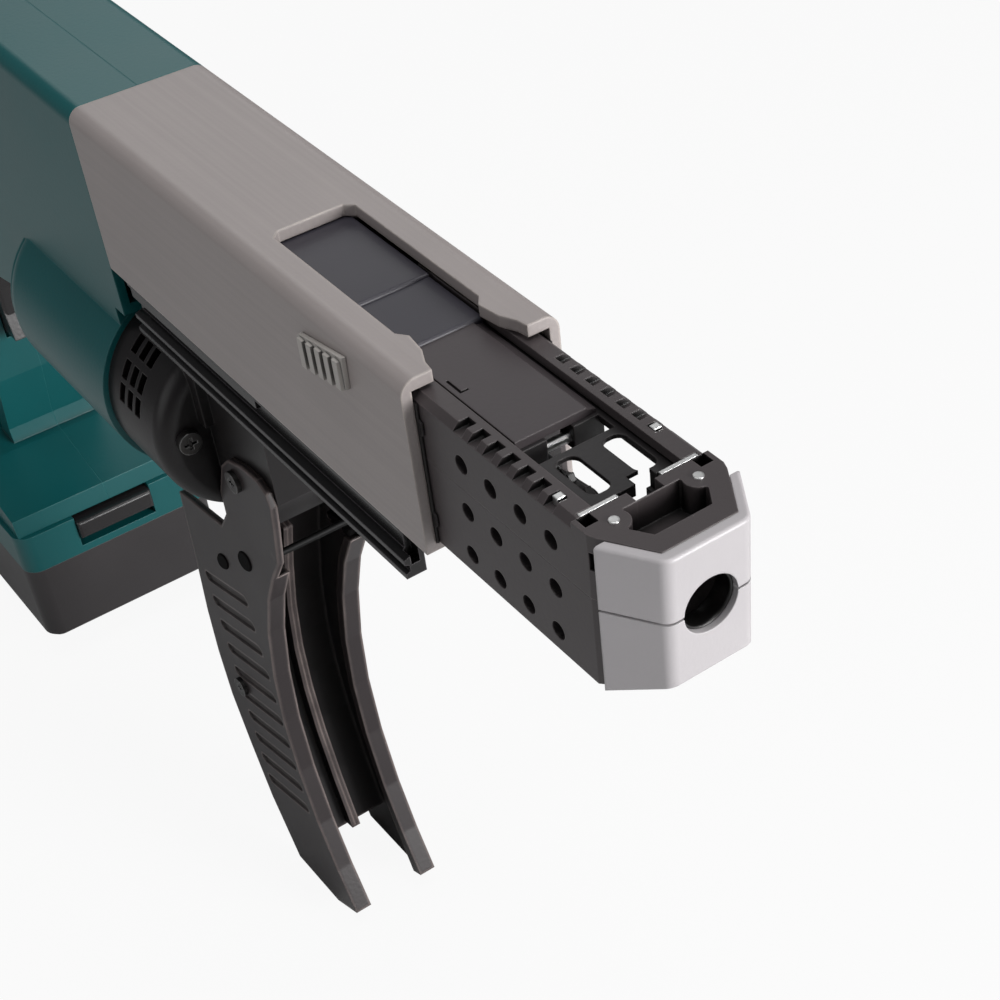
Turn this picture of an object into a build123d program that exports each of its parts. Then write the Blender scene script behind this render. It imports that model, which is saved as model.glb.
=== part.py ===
from build123d import *
import math
import os

os.makedirs("parts", exist_ok=True)

# Autofeed screwdriver, millimetres, real size.
# The origin is the centre of the nose hole on the front face of the nose.
# X points forward out of the nose, Y to the tool's left, Z up.

# Running clearances
slide_gap = 0.1
turn_gap = 0.06

# Gear train, module 1
gear_module = 1.0
pinion_teeth = 9
idler_low_teeth = 26
idler_high_teeth = 22
spindle_teeth = 29
gear_back = -204.0
gear_width = 6.0
chamber_gap = 1.4
chamber_wall = 0.7
chamber_r = spindle_teeth * gear_module / 2 + chamber_gap
idler_high_z = -(spindle_teeth + idler_high_teeth) * gear_module / 2
idler_low_z = idler_high_z - (idler_high_teeth + idler_low_teeth) * gear_module / 2
motor_z = idler_low_z - (idler_low_teeth + pinion_teeth) * gear_module / 2
spindle_r = 5.0
shaft_r = 3.0
idler_pin_r = 2.0
bearing_r = 9.5
motor_bearing_r = 8.0

# Casing around the gear case and the feeder box
casing_wall = 2.5
casing_half = chamber_r + chamber_wall + slide_gap + casing_wall
casing_top = 19.2
casing_floor = -24.3
casing_front = -72.0
casing_rear = -222.4
casing_roof = 2.8
window_half = 10.25
window_rear = -138.5
lip_inner = 12.6
lip_rear = -192.0

# Nose and stopper base
hole_r = 6.4
base_gap = 0.7
base_half = casing_half - casing_wall - base_gap
base_wall = 1.8
base_top = 15.4
base_floor = -22.0
base_rear = -112.0
head_rear = -20.2
rail_inner = 10.5
notch_pitch = 5.0
notch_count = 7
shell_rear = -12.0

# Feeder box, bit and sprocket
feed_gap = 0.6
feed_half = base_half - base_wall - feed_gap
feed_wall = 4.2
feed_inner = feed_half - feed_wall
sprocket_half = feed_inner - 2.8
feed_rear = -142.0
feed_front = -24.0
deck_half = 9.6
deck_low = 12.6
bit_r = 3.1
bit_tip = -45.0
holder_r = 6.2
spring_r = 7.4
wire_r = 0.7
sprocket_x = -49.5
sprocket_z = -11.3
sprocket_teeth = 6
sprocket_r = 7.6
sprocket_shaft_r = 2.0
cross_pin_x = -48.3
cross_pin_z = 9.0
cross_pin_r = 1.25
pawl_x = -63.0
pawl_z = -9.0
pawl_pin_r = 1.25

# Gear housing and motor
cover_r = 28.0
cover_rear = -228.0
cover_front = -197.0
cover_wall = 2.2
fan_r = cover_r - cover_wall - 1.8
shoulder_half = 16.0

# Side rails under the casing
side_rail_out = casing_half - 0.2
side_rail_in = side_rail_out - 5.2
neck_half = side_rail_in - 0.5
side_rail_floor = -39.2
side_rail_front = -84.0
side_rail_rear = -214.0

# Strip guide
guide_half = 15.4
guide_plate_t = 2.0
guide_flange = 5.6

# Housing, grip and battery
barrel_r = 29.6
barrel_rear = -294.0
grip_half = 17.5
grip_x = -390.0
foot_top = -184.0
foot_floor = -194.0
battery_seam = -210.0
battery_floor = -243.0
battery_half = 37.5
battery_front = grip_x + 32
battery_rear = grip_x - 80
shell_t = 2.5
boss_r = 4.2
foot_half = battery_half - 1.5
hook_t = 1.8
cell_half = battery_half - 4.5
housing_screw_places = [
    (-280, 8),
    (grip_x - 18, -14),
    (grip_x - 38, -66),
    (grip_x - 47, -140),
    (grip_x - 18, -176),
]

# Depth knob
knob_y = 13.2
knob_z = -14.5
knob_r = 9.0
rod_r = 2.4

# Stopper base, upper moulding with the notched rails and the nose head
with BuildPart() as base_upper:
    with BuildSketch(Plane.YZ.offset(base_rear)):
        with BuildLine():
            Polyline(
                (-base_half, 0),
                (-base_half, base_top - 1.6),
                (-base_half + 1.6, base_top),
                (base_half - 1.6, base_top),
                (base_half, base_top - 1.6),
                (base_half, 0),
                close=True,
            )
        make_face()
    extrude(amount=head_rear - base_rear)
    with BuildSketch(Plane.YZ.offset(base_rear)):
        with Locations((0, (base_top - 2.2) / 2)):
            Rectangle(2 * (base_half - base_wall), base_top - 2.2)
        with Locations((0, base_top)):
            Rectangle(2 * rail_inner, 2 * 2.4)
    extrude(amount=head_rear - base_rear, mode=Mode.SUBTRACT)
    with BuildSketch(Plane.XY):
        with BuildLine():
            Polyline(
                (head_rear, -base_half),
                (-15.5, -base_half),
                (-13.6, -base_half + 0.7),
                (-2.65, -8.8),
                (-2.65, 8.8),
                (-13.6, base_half - 0.7),
                (-15.5, base_half),
                (head_rear, base_half),
                close=True,
            )
        make_face()
    extrude(amount=base_top)
    # Nose hole and the open pocket above it
    with BuildSketch(Plane.YZ.offset(head_rear - 1)):
        Circle(hole_r)
    extrude(amount=30, mode=Mode.SUBTRACT)
    with BuildSketch(Plane.XY.offset(8.6)):
        with BuildLine():
            Polyline(
                (-17.0, -6.5),
                (-17.0, 6.5),
                (-11.6, 9.2),
                (-7.4, 6.6),
                (-7.4, -6.6),
                (-11.6, -9.2),
                close=True,
            )
        make_face()
        with Locations((-15.3, -9.8), (-15.3, 9.8)):
            Circle(3.3, mode=Mode.SUBTRACT)
    extrude(amount=10, mode=Mode.SUBTRACT)
    with BuildSketch(Plane.XY.offset(4)):
        with Locations((-19.2, 0)):
            Rectangle(4.0, 6.6)
    extrude(amount=15, mode=Mode.SUBTRACT)
    # Seats of the two nose pins
    with BuildSketch(Plane.XY.offset(7)):
        with Locations((-15.3, -9.8), (-15.3, 9.8)):
            Circle(1.1)
    extrude(amount=10, mode=Mode.SUBTRACT)
    # Room for the steel plate behind the head
    with BuildSketch(Plane.YZ.offset(head_rear)):
        with Locations((0, base_top - 2)):
            Rectangle(2 * base_half - 4.2, 10)
    extrude(amount=-1.1, mode=Mode.SUBTRACT)
    # Square windows beside the head
    with BuildSketch(Plane.XY.offset(11)):
        with Locations((-18.6, -base_half + 2.6), (-18.6, base_half - 2.6)):
            Rectangle(3.0, 3.0)
    extrude(amount=6, mode=Mode.SUBTRACT)
    # Length setting notches, the right row sits one pitch ahead of the left
    with BuildSketch(Plane.XY.offset(base_top - 1.7)):
        for step in range(notch_count):
            with Locations((-27.5 - notch_pitch * step, -base_half + 1.4)):
                Rectangle(2.9, 5.0)
            with Locations((-32.5 - notch_pitch * step, base_half - 1.4)):
                Rectangle(2.9, 5.0)
    extrude(amount=4, mode=Mode.SUBTRACT)
    # Row of side holes and the narrow slit near the head
    with BuildSketch(Plane.XZ.offset(base_half - base_wall - 1)):
        with Locations((-57.5, 6.5), (-47.5, 6.5), (-37.5, 6.5), (-27.5, 6.5)):
            Circle(2.1)
        with Locations((-14.7, 9.2)):
            Rectangle(1.2, 4.2)
    extrude(amount=5, mode=Mode.SUBTRACT)
    with BuildSketch(Plane.XZ.offset(-base_half + base_wall + 1)):
        with Locations((-27.5, 6.5)):
            Circle(2.1)
        with Locations((-51, 3.5)):
            Rectangle(36, 7.1)
    extrude(amount=-5, mode=Mode.SUBTRACT)
base_upper.part.label = "base_upper"
export_step(base_upper.part, "parts/base_upper.step")

# Stopper base, lower moulding, open below for the screw strip
with BuildPart() as base_lower:
    with BuildSketch(Plane.YZ.offset(base_rear)):
        with Locations((0, base_floor / 2)):
            Rectangle(2 * base_half, -base_floor)
    extrude(amount=head_rear - base_rear)
    with BuildSketch(Plane.YZ.offset(base_rear)):
        with Locations((0, (base_floor + 1.6) / 2)):
            Rectangle(2 * (base_half - base_wall), -base_floor - 1.6)
        with Locations((0, base_floor)):
            Rectangle(2 * rail_inner, 8)
    extrude(amount=head_rear - base_rear, mode=Mode.SUBTRACT)
    with BuildSketch(Plane.XY.offset(base_floor)):
        with BuildLine():
            Polyline(
                (head_rear, -base_half),
                (-15.5, -base_half),
                (-13.6, -base_half + 0.7),
                (-2.65, -8.8),
                (-2.65, 8.8),
                (-13.6, base_half - 0.7),
                (-15.5, base_half),
                (head_rear, base_half),
                close=True,
            )
        make_face()
    extrude(amount=-base_floor)
    with BuildSketch(Plane.YZ.offset(head_rear - 1)):
        Circle(hole_r)
    extrude(amount=30, mode=Mode.SUBTRACT)
    with BuildSketch(Plane.XY.offset(base_floor - 1)):
        with Locations((-12.4, 0)):
            Rectangle(8.0, 15)
    extrude(amount=13, mode=Mode.SUBTRACT)
    with BuildSketch(Plane.XZ.offset(base_half - base_wall - 1)):
        for hole_x in (-57.5, -47.5, -37.5, -27.5):
            with Locations((hole_x, -5.4), (hole_x - 0.6, -16.9)):
                Circle(2.1)
    extrude(amount=5, mode=Mode.SUBTRACT)
    with BuildSketch(Plane.XZ.offset(-base_half + base_wall + 1)):
        with Locations((-27.5, -5.4), (-28.1, -16.9)):
            Circle(2.1)
        with Locations((-51, -9)):
            Rectangle(36, 18.1)
    extrude(amount=-5, mode=Mode.SUBTRACT)
    # The underside of the nose rises towards the front
    with BuildSketch(Plane.XZ.offset(20)):
        with BuildLine():
            Polyline((-15.5, -24), (-15.5, -22), (1, -15.4), (1, -24), close=True)
        make_face()
    extrude(amount=-40, mode=Mode.SUBTRACT)
base_lower.part.label = "base_lower"
export_step(base_lower.part, "parts/base_lower.step")

# Grey nose shell, upper half with rounded corners
with BuildPart() as nose_shell_upper:
    with BuildSketch(Plane.XY.offset(0.3)):
        with BuildLine():
            Polyline(
                (shell_rear, -base_half - 1.0),
                (0, -9.7),
                (0, 9.7),
                (shell_rear, base_half + 1.0),
                (shell_rear, base_half - 1.5),
                (-2.65, 8.8),
                (-2.65, -8.8),
                (shell_rear, -base_half + 1.5),
                close=True,
            )
        make_face()
    extrude(amount=14.9)
    fillet(nose_shell_upper.edges().filter_by(Axis.Z).group_by(Axis.X)[-1], 3.0)
    fillet(nose_shell_upper.faces().sort_by(Axis.X)[-1].edges().sort_by(Axis.Z)[-1], 0.8)
    with BuildSketch(Plane.YZ.offset(-6)):
        Circle(hole_r)
    extrude(amount=10, mode=Mode.SUBTRACT)
nose_shell_upper.part.label = "nose_shell_upper"
export_step(nose_shell_upper.part, "parts/nose_shell_upper.step")

# Grey nose shell, lower half
with BuildPart() as nose_shell_lower:
    with BuildSketch(Plane.XY.offset(-21.4)):
        with BuildLine():
            Polyline(
                (shell_rear, -base_half - 1.0),
                (0, -9.7),
                (0, 9.7),
                (shell_rear, base_half + 1.0),
                (shell_rear, base_half - 1.5),
                (-2.65, 8.8),
                (-2.65, -8.8),
                (shell_rear, -base_half + 1.5),
                close=True,
            )
        make_face()
    extrude(amount=21.1)
    fillet(nose_shell_lower.edges().filter_by(Axis.Z).group_by(Axis.X)[-1], 3.0)
    with BuildSketch(Plane.YZ.offset(-6)):
        Circle(hole_r)
    extrude(amount=10, mode=Mode.SUBTRACT)
    # The underside of the nose rises towards the front
    with BuildSketch(Plane.XZ.offset(20)):
        with BuildLine():
            Polyline((-15.5, -24), (-15.5, -22), (1, -15.4), (1, -24), close=True)
        make_face()
    extrude(amount=-40, mode=Mode.SUBTRACT)
nose_shell_lower.part.label = "nose_shell_lower"
export_step(nose_shell_lower.part, "parts/nose_shell_lower.step")

# Bright steel plate on the back of the nose head
with BuildPart() as steel_plate:
    with BuildSketch(Plane.YZ.offset(head_rear)):
        with Locations((0, (base_top - 19.5) / 2)):
            Rectangle(2 * base_half - 4.4, base_top + 19.5)
        with Locations((0, base_top)):
            Rectangle(10.0, 2 * 9.4)
        Circle(hole_r, mode=Mode.SUBTRACT)
    extrude(amount=-1.0)
    with BuildSketch(Plane.YZ.offset(head_rear + 1)):
        with Locations((0, base_top)):
            Rectangle(10.0, 2 * 9.4)
    extrude(amount=-4, mode=Mode.SUBTRACT)
steel_plate.part.label = "steel_plate"
export_step(steel_plate.part, "parts/steel_plate.step")

# Two dowel pins standing in the nose head
with BuildPart() as nose_pins:
    with BuildSketch(Plane.XY.offset(7)):
        with Locations((-15.3, -9.8), (-15.3, 9.8)):
            Circle(1.1)
    extrude(amount=base_top - 7 + 0.3)
nose_pins.part.label = "nose_pins"
export_step(nose_pins.part, "parts/nose_pins.step")

# Steel stops standing in the foremost notch of each row
with BuildPart() as notch_stops:
    with BuildSketch(Plane.XY.offset(base_top - 1.7)):
        with Locations((-27.5, -base_half + 2.8), (-32.5, base_half - 2.8)):
            Rectangle(1.6, 1.9)
    extrude(amount=1.9)
notch_stops.part.label = "notch_stops"
export_step(notch_stops.part, "parts/notch_stops.step")

# Feeder box that slides in the casing, with the bit tunnel and the strip passage
with BuildPart() as feeder_box:
    with BuildSketch(Plane.YZ.offset(feed_rear)):
        with Locations((0, (deck_low - 19.6) / 2)):
            Rectangle(2 * feed_half, deck_low + 19.6)
    extrude(amount=feed_front - feed_rear)
    # Strip passage and the sprocket chamber behind it
    with BuildSketch(Plane.XY.offset(-21)):
        with Locations((-35.0, 0)):
            Rectangle(18.0, 2 * feed_inner)
    extrude(amount=36, mode=Mode.SUBTRACT)
    with BuildSketch(Plane.XZ.offset(feed_inner)):
        with BuildLine():
            Polyline(
                (-66, -21),
                (-39, -21),
                (-39, 14),
                (-46.9, 14),
                (-52, 11.4),
                (-58, 8),
                (-66, 8),
                close=True,
            )
        make_face()
    extrude(amount=-2 * feed_inner, mode=Mode.SUBTRACT)
    # The side wall is open beside the passage
    with BuildSketch(Plane.XZ.offset(4.4 - feed_inner)):
        with Locations((-46.5, -5)):
            Rectangle(41.0, 32.0)
    extrude(amount=-12, mode=Mode.SUBTRACT)
    # Arm that carries the free end of the sprocket shaft
    with BuildSketch(Plane.XZ.offset(2.4 - feed_inner)):
        with BuildLine():
            Polyline((-70, -16), (-70, -10.6), (-50, -8.0), (-48.5, -14.6), close=True)
        make_face()
        with Locations((sprocket_x, sprocket_z)):
            Circle(3.4)
    extrude(amount=-2.4)
    # Thin roof over the strip passage with two rounded slots
    with BuildSketch(Plane.XY.offset(deck_low - 1.0)):
        with Locations((-32.4, 0)):
            Rectangle(16.8, 2 * feed_inner + 0.2)
        with Locations((-32.7, 5.2 - feed_inner)):
            RectangleRounded(13.0, 5.4, 2.2, mode=Mode.SUBTRACT)
        with Locations((-32.5, feed_inner - 2.65)):
            RectangleRounded(12.8, 5.3, 2.2, mode=Mode.SUBTRACT)
    extrude(amount=1.0)
    with BuildSketch(Plane.YZ.offset(feed_front - 3)):
        Rectangle(11.0, 14.0)
        with Locations((0, 8.2)):
            Rectangle(11.0, 3.2)
        with Locations((4.05, 11)):
            Rectangle(4.9, 5.0)
    extrude(amount=5, mode=Mode.SUBTRACT)
    # Two collars of the pin across the throat
    with BuildSketch(Plane.XY.offset(6.8)):
        with Locations((-48.5, 2.8 - feed_inner), (-48.5, feed_inner - 2.4)):
            Rectangle(5.0, 7.2)
    extrude(amount=deck_low - 6.8)
    with BuildSketch(Plane.XZ.offset(feed_half - 1.6)):
        with Locations((cross_pin_x, cross_pin_z)):
            Circle(cross_pin_r)
    extrude(amount=-2 * (feed_half - 1.6), mode=Mode.SUBTRACT)
    # Bore for the bit holder and the narrower tunnel of the bit
    with BuildSketch(Plane.YZ.offset(feed_rear - 1)):
        Circle(8.8)
    extrude(amount=49, mode=Mode.SUBTRACT)
    with BuildSketch(Plane.YZ.offset(feed_rear)):
        Circle(4.4)
    extrude(amount=100, mode=Mode.SUBTRACT)
    with BuildSketch(Plane.XZ.offset(20)):
        with Locations((sprocket_x, sprocket_z)):
            Circle(sprocket_shaft_r + turn_gap)
    extrude(amount=-40, mode=Mode.SUBTRACT)
    with BuildSketch(Plane.XZ.offset(feed_half - 0.2)):
        with Locations((pawl_x, pawl_z)):
            Circle(pawl_pin_r)
    extrude(amount=-6, mode=Mode.SUBTRACT)
    # Long recesses in both sides of the rear part
    with BuildSketch(Plane.XZ.offset(feed_half - 1.2)):
        with Locations((-105, -4)):
            Rectangle(50, 9)
    extrude(amount=3, mode=Mode.SUBTRACT)
    with BuildSketch(Plane.XZ.offset(-feed_half + 1.2)):
        with Locations((-105, -4)):
            Rectangle(50, 9)
    extrude(amount=-3, mode=Mode.SUBTRACT)
feeder_box.part.label = "feeder_box"
export_step(feeder_box.part, "parts/feeder_box.step")

# Steel pins: one across the throat under the deck edge, one through the pawl
with BuildPart() as feeder_pins:
    with BuildSketch(Plane.XZ.offset(feed_half - 1.6)):
        with Locations((cross_pin_x, cross_pin_z)):
            Circle(cross_pin_r)
    extrude(amount=-2 * (feed_half - 1.6))
    with BuildSketch(Plane.XZ.offset(feed_half - 0.2)):
        with Locations((pawl_x, pawl_z)):
            Circle(pawl_pin_r)
    extrude(amount=-6.6)
feeder_pins.part.label = "feeder_pins"
export_step(feeder_pins.part, "parts/feeder_pins.step")

# Deck plate in front, one continuous flat cover with a lip along one edge
with BuildPart() as deck_plate:
    with BuildSketch(Plane.YZ.offset(-86.2)):
        with BuildLine():
            Polyline(
                (-deck_half, deck_low),
                (-deck_half, deck_low + 2.0),
                (7.4, deck_low + 2.0),
                (7.8, deck_low + 1.5),
                (deck_half, deck_low + 0.9),
                (deck_half, deck_low),
                close=True,
            )
        make_face()
    extrude(amount=86.2 - 47.0)
    with BuildSketch(Plane.XY.offset(deck_low + 1.4)):
        with Locations((-70.0, -8.2)):
            Rectangle(5.4, 0.6)
        with Locations((-67.6, -7.4)):
            Rectangle(0.6, 2.0)
    extrude(amount=2, mode=Mode.SUBTRACT)
deck_plate.part.label = "deck_plate"
export_step(deck_plate.part, "parts/deck_plate.step")

# Cover plates behind the deck, seen through the casing window
with BuildPart() as panel_front:
    with BuildSketch(Plane.XY.offset(deck_low)):
        with Locations((-96.2, 0)):
            Rectangle(20.0, 2 * deck_half)
    extrude(amount=2.7)
    fillet(panel_front.faces().sort_by(Axis.Z)[-1].edges().sort_by(Axis.X)[-1], 0.8)
panel_front.part.label = "panel_front"
export_step(panel_front.part, "parts/panel_front.step")

with BuildPart() as panel_rear:
    with BuildSketch(Plane.XY.offset(deck_low)):
        with Locations((-124.1, 0)):
            Rectangle(35.8, 2 * deck_half)
    extrude(amount=3.4)
    fillet(panel_rear.faces().sort_by(Axis.Z)[-1].edges().sort_by(Axis.X)[-1], 0.8)
panel_rear.part.label = "panel_rear"
export_step(panel_rear.part, "parts/panel_rear.step")

# Pair of sprocket wheels on one hub
with BuildPart() as sprocket:
    with BuildSketch(Plane.XZ.offset(sprocket_half)):
        with Locations((sprocket_x, sprocket_z)):
            Circle(sprocket_r - 1.4)
            with PolarLocations(sprocket_r - 0.9, sprocket_teeth):
                Rectangle(2.4, 2.6)
            Circle(sprocket_shaft_r, mode=Mode.SUBTRACT)
    extrude(amount=-1.6)
    with BuildSketch(Plane.XZ.offset(1.6 - sprocket_half)):
        with Locations((sprocket_x, sprocket_z)):
            Circle(sprocket_r - 1.4)
            with PolarLocations(sprocket_r - 0.9, sprocket_teeth):
                Rectangle(2.4, 2.6)
            Circle(sprocket_shaft_r, mode=Mode.SUBTRACT)
    extrude(amount=-1.6)
    with BuildSketch(Plane.XZ.offset(sprocket_half)):
        with Locations((sprocket_x, sprocket_z)):
            Circle(3.6)
            Circle(sprocket_shaft_r, mode=Mode.SUBTRACT)
    extrude(amount=-2 * sprocket_half)
sprocket.part.label = "sprocket"
export_step(sprocket.part, "parts/sprocket.step")

# Shaft of the sprocket wheels with the ratchet wheel on its end
with BuildPart() as sprocket_shaft:
    with BuildSketch(Plane.XZ.offset(feed_half - 0.1)):
        with Locations((sprocket_x, sprocket_z)):
            Circle(sprocket_shaft_r)
    extrude(amount=-(feed_half - 0.1 + feed_inner))
sprocket_shaft.part.label = "sprocket_shaft"
export_step(sprocket_shaft.part, "parts/sprocket_shaft.step")

with BuildPart() as ratchet_wheel:
    with BuildSketch(Plane.XZ.offset(feed_inner - 0.2)):
        with Locations((sprocket_x, sprocket_z)):
            Circle(5.0)
            with PolarLocations(5.0, sprocket_teeth):
                RegularPolygon(1.5, 3)
            Circle(sprocket_shaft_r, mode=Mode.SUBTRACT)
    extrude(amount=-2.2)
ratchet_wheel.part.label = "ratchet_wheel"
export_step(ratchet_wheel.part, "parts/ratchet_wheel.step")

# Pawl of the ratchet
with BuildPart() as pawl:
    with BuildSketch(Plane.XZ.offset(feed_inner - 0.2)):
        with Locations((pawl_x, pawl_z)):
            Circle(2.6)
        with BuildLine():
            Polyline((-63.0, -6.4), (-56.6, -9.8), (-56.9, -11.6), (-63.0, -11.6), close=True)
        make_face()
        with Locations((pawl_x, pawl_z)):
            Circle(pawl_pin_r + turn_gap, mode=Mode.SUBTRACT)
    extrude(amount=-2.2)
pawl.part.label = "pawl"
export_step(pawl.part, "parts/pawl.step")

# Casing, a long channel with rounded top corners and inward lips below
with BuildPart() as casing:
    with BuildSketch(Plane.YZ.offset(casing_rear)) as casing_section:
        with Locations((0, (casing_top + casing_floor) / 2)):
            Rectangle(2 * casing_half, casing_top - casing_floor)
        fillet(casing_section.vertices().group_by(Axis.Y)[-1], 3.8)
    extrude(amount=casing_front - casing_rear)
    with BuildSketch(Plane.YZ.offset(casing_rear)):
        with Locations((0, (casing_top - casing_roof + casing_floor - 1) / 2)):
            Rectangle(2 * (casing_half - casing_wall), casing_top - casing_roof - casing_floor + 1)
    extrude(amount=casing_front - casing_rear, mode=Mode.SUBTRACT)
    with BuildSketch(Plane.YZ.offset(lip_rear)):
        with Locations((-(lip_inner + casing_half - 1) / 2, casing_floor + 0.95)):
            Rectangle(casing_half - 1 - lip_inner, 1.9)
        with Locations(((lip_inner + casing_half - 1) / 2, casing_floor + 0.95)):
            Rectangle(casing_half - 1 - lip_inner, 1.9)
    extrude(amount=casing_front - lip_rear)
    # Window in the roof, narrowing at two shoulders and flaring at the front
    with BuildSketch(Plane.XY.offset(casing_top - 5)):
        with BuildLine():
            Polyline(
                (casing_front + 1, -11.6),
                (-75, -11.0),
                (-79, -9.2),
                (-85, -8.4),
                (-87.6, -window_half),
                (window_rear + 2, -window_half),
                (window_rear, -window_half + 2),
                (window_rear, window_half - 2),
                (window_rear + 2, window_half),
                (-87.6, window_half),
                (-85, 8.4),
                (-79, 9.2),
                (-75, 11.0),
                (casing_front + 1, 11.6),
                close=True,
            )
        make_face()
    extrude(amount=6, mode=Mode.SUBTRACT)
    # Slot under the release lever
    with BuildSketch(Plane.XZ.offset(casing_half - 5)):
        with Locations((-103.4, 9.4)):
            Rectangle(14.0, 3.2)
    extrude(amount=8, mode=Mode.SUBTRACT)
casing.part.label = "casing"
export_step(casing.part, "parts/casing.step")

# Ribbed release lever on the casing side
with BuildPart() as release_lever:
    with BuildSketch(Plane.XZ.offset(casing_half + slide_gap)):
        with BuildLine():
            Polyline((-112.0, 4.0), (-93.6, 6.8), (-93.0, 14.9), (-111.6, 11.6), close=True)
        make_face()
    extrude(amount=1.1)
    with BuildSketch(Plane.XZ.offset(casing_half + slide_gap + 1.1)):
        for rib in range(5):
            with Locations((-109.6 + 3.7 * rib, 8.0 + 0.6 * rib)):
                Rectangle(2.0, 7.0)
    extrude(amount=0.9)
    with BuildSketch(Plane.XZ.offset(casing_half - casing_wall - 0.3)):
        with Locations((-101.4, 9.4)):
            Rectangle(8.0, 3.0)
    extrude(amount=casing_wall + 0.5 + slide_gap)
release_lever.part.label = "release_lever"
export_step(release_lever.part, "parts/release_lever.step")

# Black side rails under the casing, grooved along the outer face
with BuildPart() as side_rails:
    with BuildSketch(Plane.YZ.offset(side_rail_rear)):
        with BuildLine():
            Polyline(
                (-side_rail_in, casing_floor - 0.05),
                (-side_rail_out, casing_floor - 0.05),
                (-side_rail_out, casing_floor - 1.2),
                (-side_rail_out + 2.2, casing_floor - 1.8),
                (-side_rail_out + 2.2, -33.2),
                (-side_rail_out, -34.0),
                (-side_rail_out, -35.2),
                (-side_rail_out + 1.2, -35.8),
                (-side_rail_out + 1.2, -37.4),
                (-side_rail_out, -37.9),
                (-side_rail_out, side_rail_floor),
                (-side_rail_in, side_rail_floor),
                close=True,
            )
        make_face()
    extrude(amount=side_rail_front - side_rail_rear)
    with BuildSketch(Plane.XZ.offset(side_rail_out - 3)):
        with Locations((-181.5, -27.4)):
            Rectangle(65, 3.4)
    extrude(amount=2.4)
    with BuildSketch(Plane.YZ.offset(side_rail_front - 3)):
        with Locations((-16.2, -31.0)):
            Rectangle(2.2, 9.6)
    extrude(amount=4, mode=Mode.SUBTRACT)
    add(mirror(side_rails.part, about=Plane.XZ))
side_rails.part.label = "side_rails"
export_step(side_rails.part, "parts/side_rails.step")

# Gear housing with the vented motor cover, the gear case and the neck
with BuildPart() as gear_housing:
    with BuildSketch(Plane.YZ.offset(cover_rear)):
        with Locations((0, motor_z)):
            Circle(cover_r)
    extrude(amount=cover_front - cover_rear)
    fillet(gear_housing.faces().sort_by(Axis.X)[-1].edges(), 5.0)
    with BuildSketch(Plane.YZ.offset(cover_rear)):
        with Locations((0, motor_z)):
            Circle(cover_r - cover_wall)
    extrude(amount=19, mode=Mode.SUBTRACT)
    # Gear case rising between the rails into the casing
    with BuildSketch(Plane.YZ.offset(-211)):
        with Locations((0, -45)):
            Rectangle(2 * side_rail_in - 0.2, 14)
        with Locations((0, -30)):
            Rectangle(2 * side_rail_in - 0.2, 18)
        with Locations((0, -3.9)):
            Rectangle(2 * (chamber_r + chamber_wall), 40.4)
        with Locations((0, -50)):
            Rectangle(2 * shoulder_half, 21)
    extrude(amount=18)
    # Neck under the rails that carries the strip guide
    with BuildSketch(Plane.XZ.offset(neck_half)):
        with BuildLine():
            Polyline(
                (-206, -41),
                (-168, -41),
                (-163, -48),
                (-163, -70),
                (-171, -82),
                (-190, -92),
                (-206, -92),
                close=True,
            )
        make_face()
    extrude(amount=-2 * neck_half)
    # Gear chamber
    with BuildSketch(Plane.YZ.offset(-204.8)):
        Circle(chamber_r)
        with Locations((0, idler_high_z)):
            Circle(12.5)
        with Locations((0, idler_low_z)):
            Circle(14.5)
        with Locations((0, motor_z)):
            Circle(7.0)
    extrude(amount=7.6, mode=Mode.SUBTRACT)
    # Bearing seats and bores
    with BuildSketch(Plane.YZ.offset(-212)):
        Circle(bearing_r)
    extrude(amount=8, mode=Mode.SUBTRACT)
    with BuildSketch(Plane.YZ.offset(-198)):
        Circle(bearing_r)
    extrude(amount=8, mode=Mode.SUBTRACT)
    with BuildSketch(Plane.YZ.offset(-210)):
        with Locations((0, motor_z)):
            Circle(motor_bearing_r)
    extrude(amount=6, mode=Mode.SUBTRACT)
    with BuildSketch(Plane.YZ.offset(-209)):
        with Locations((0, idler_high_z), (0, idler_low_z)):
            Circle(idler_pin_r)
    extrude(amount=14, mode=Mode.SUBTRACT)
    # Hole for the depth rod
    with BuildSketch(Plane.YZ.offset(-212)):
        with Locations((knob_y, knob_z)):
            Circle(rod_r + slide_gap)
    extrude(amount=20, mode=Mode.SUBTRACT)
    # Three rows of three vents on both sides
    for side in (1, -1):
        for tilt in (48.0, 32.0, 18.0):
            with BuildSketch(Plane(
                origin=(0, 0, motor_z),
                x_dir=(1, 0, 0),
                z_dir=(0, side * math.cos(math.radians(tilt)), math.sin(math.radians(tilt))),
            )):
                with Locations((-219.6, 0), (-215.0, 0), (-210.6, 0)):
                    Rectangle(3.0, 5.4)
            extrude(amount=cover_r + 1, mode=Mode.SUBTRACT)
gear_housing.part.label = "gear_housing"
export_step(gear_housing.part, "parts/gear_housing.step")

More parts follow.
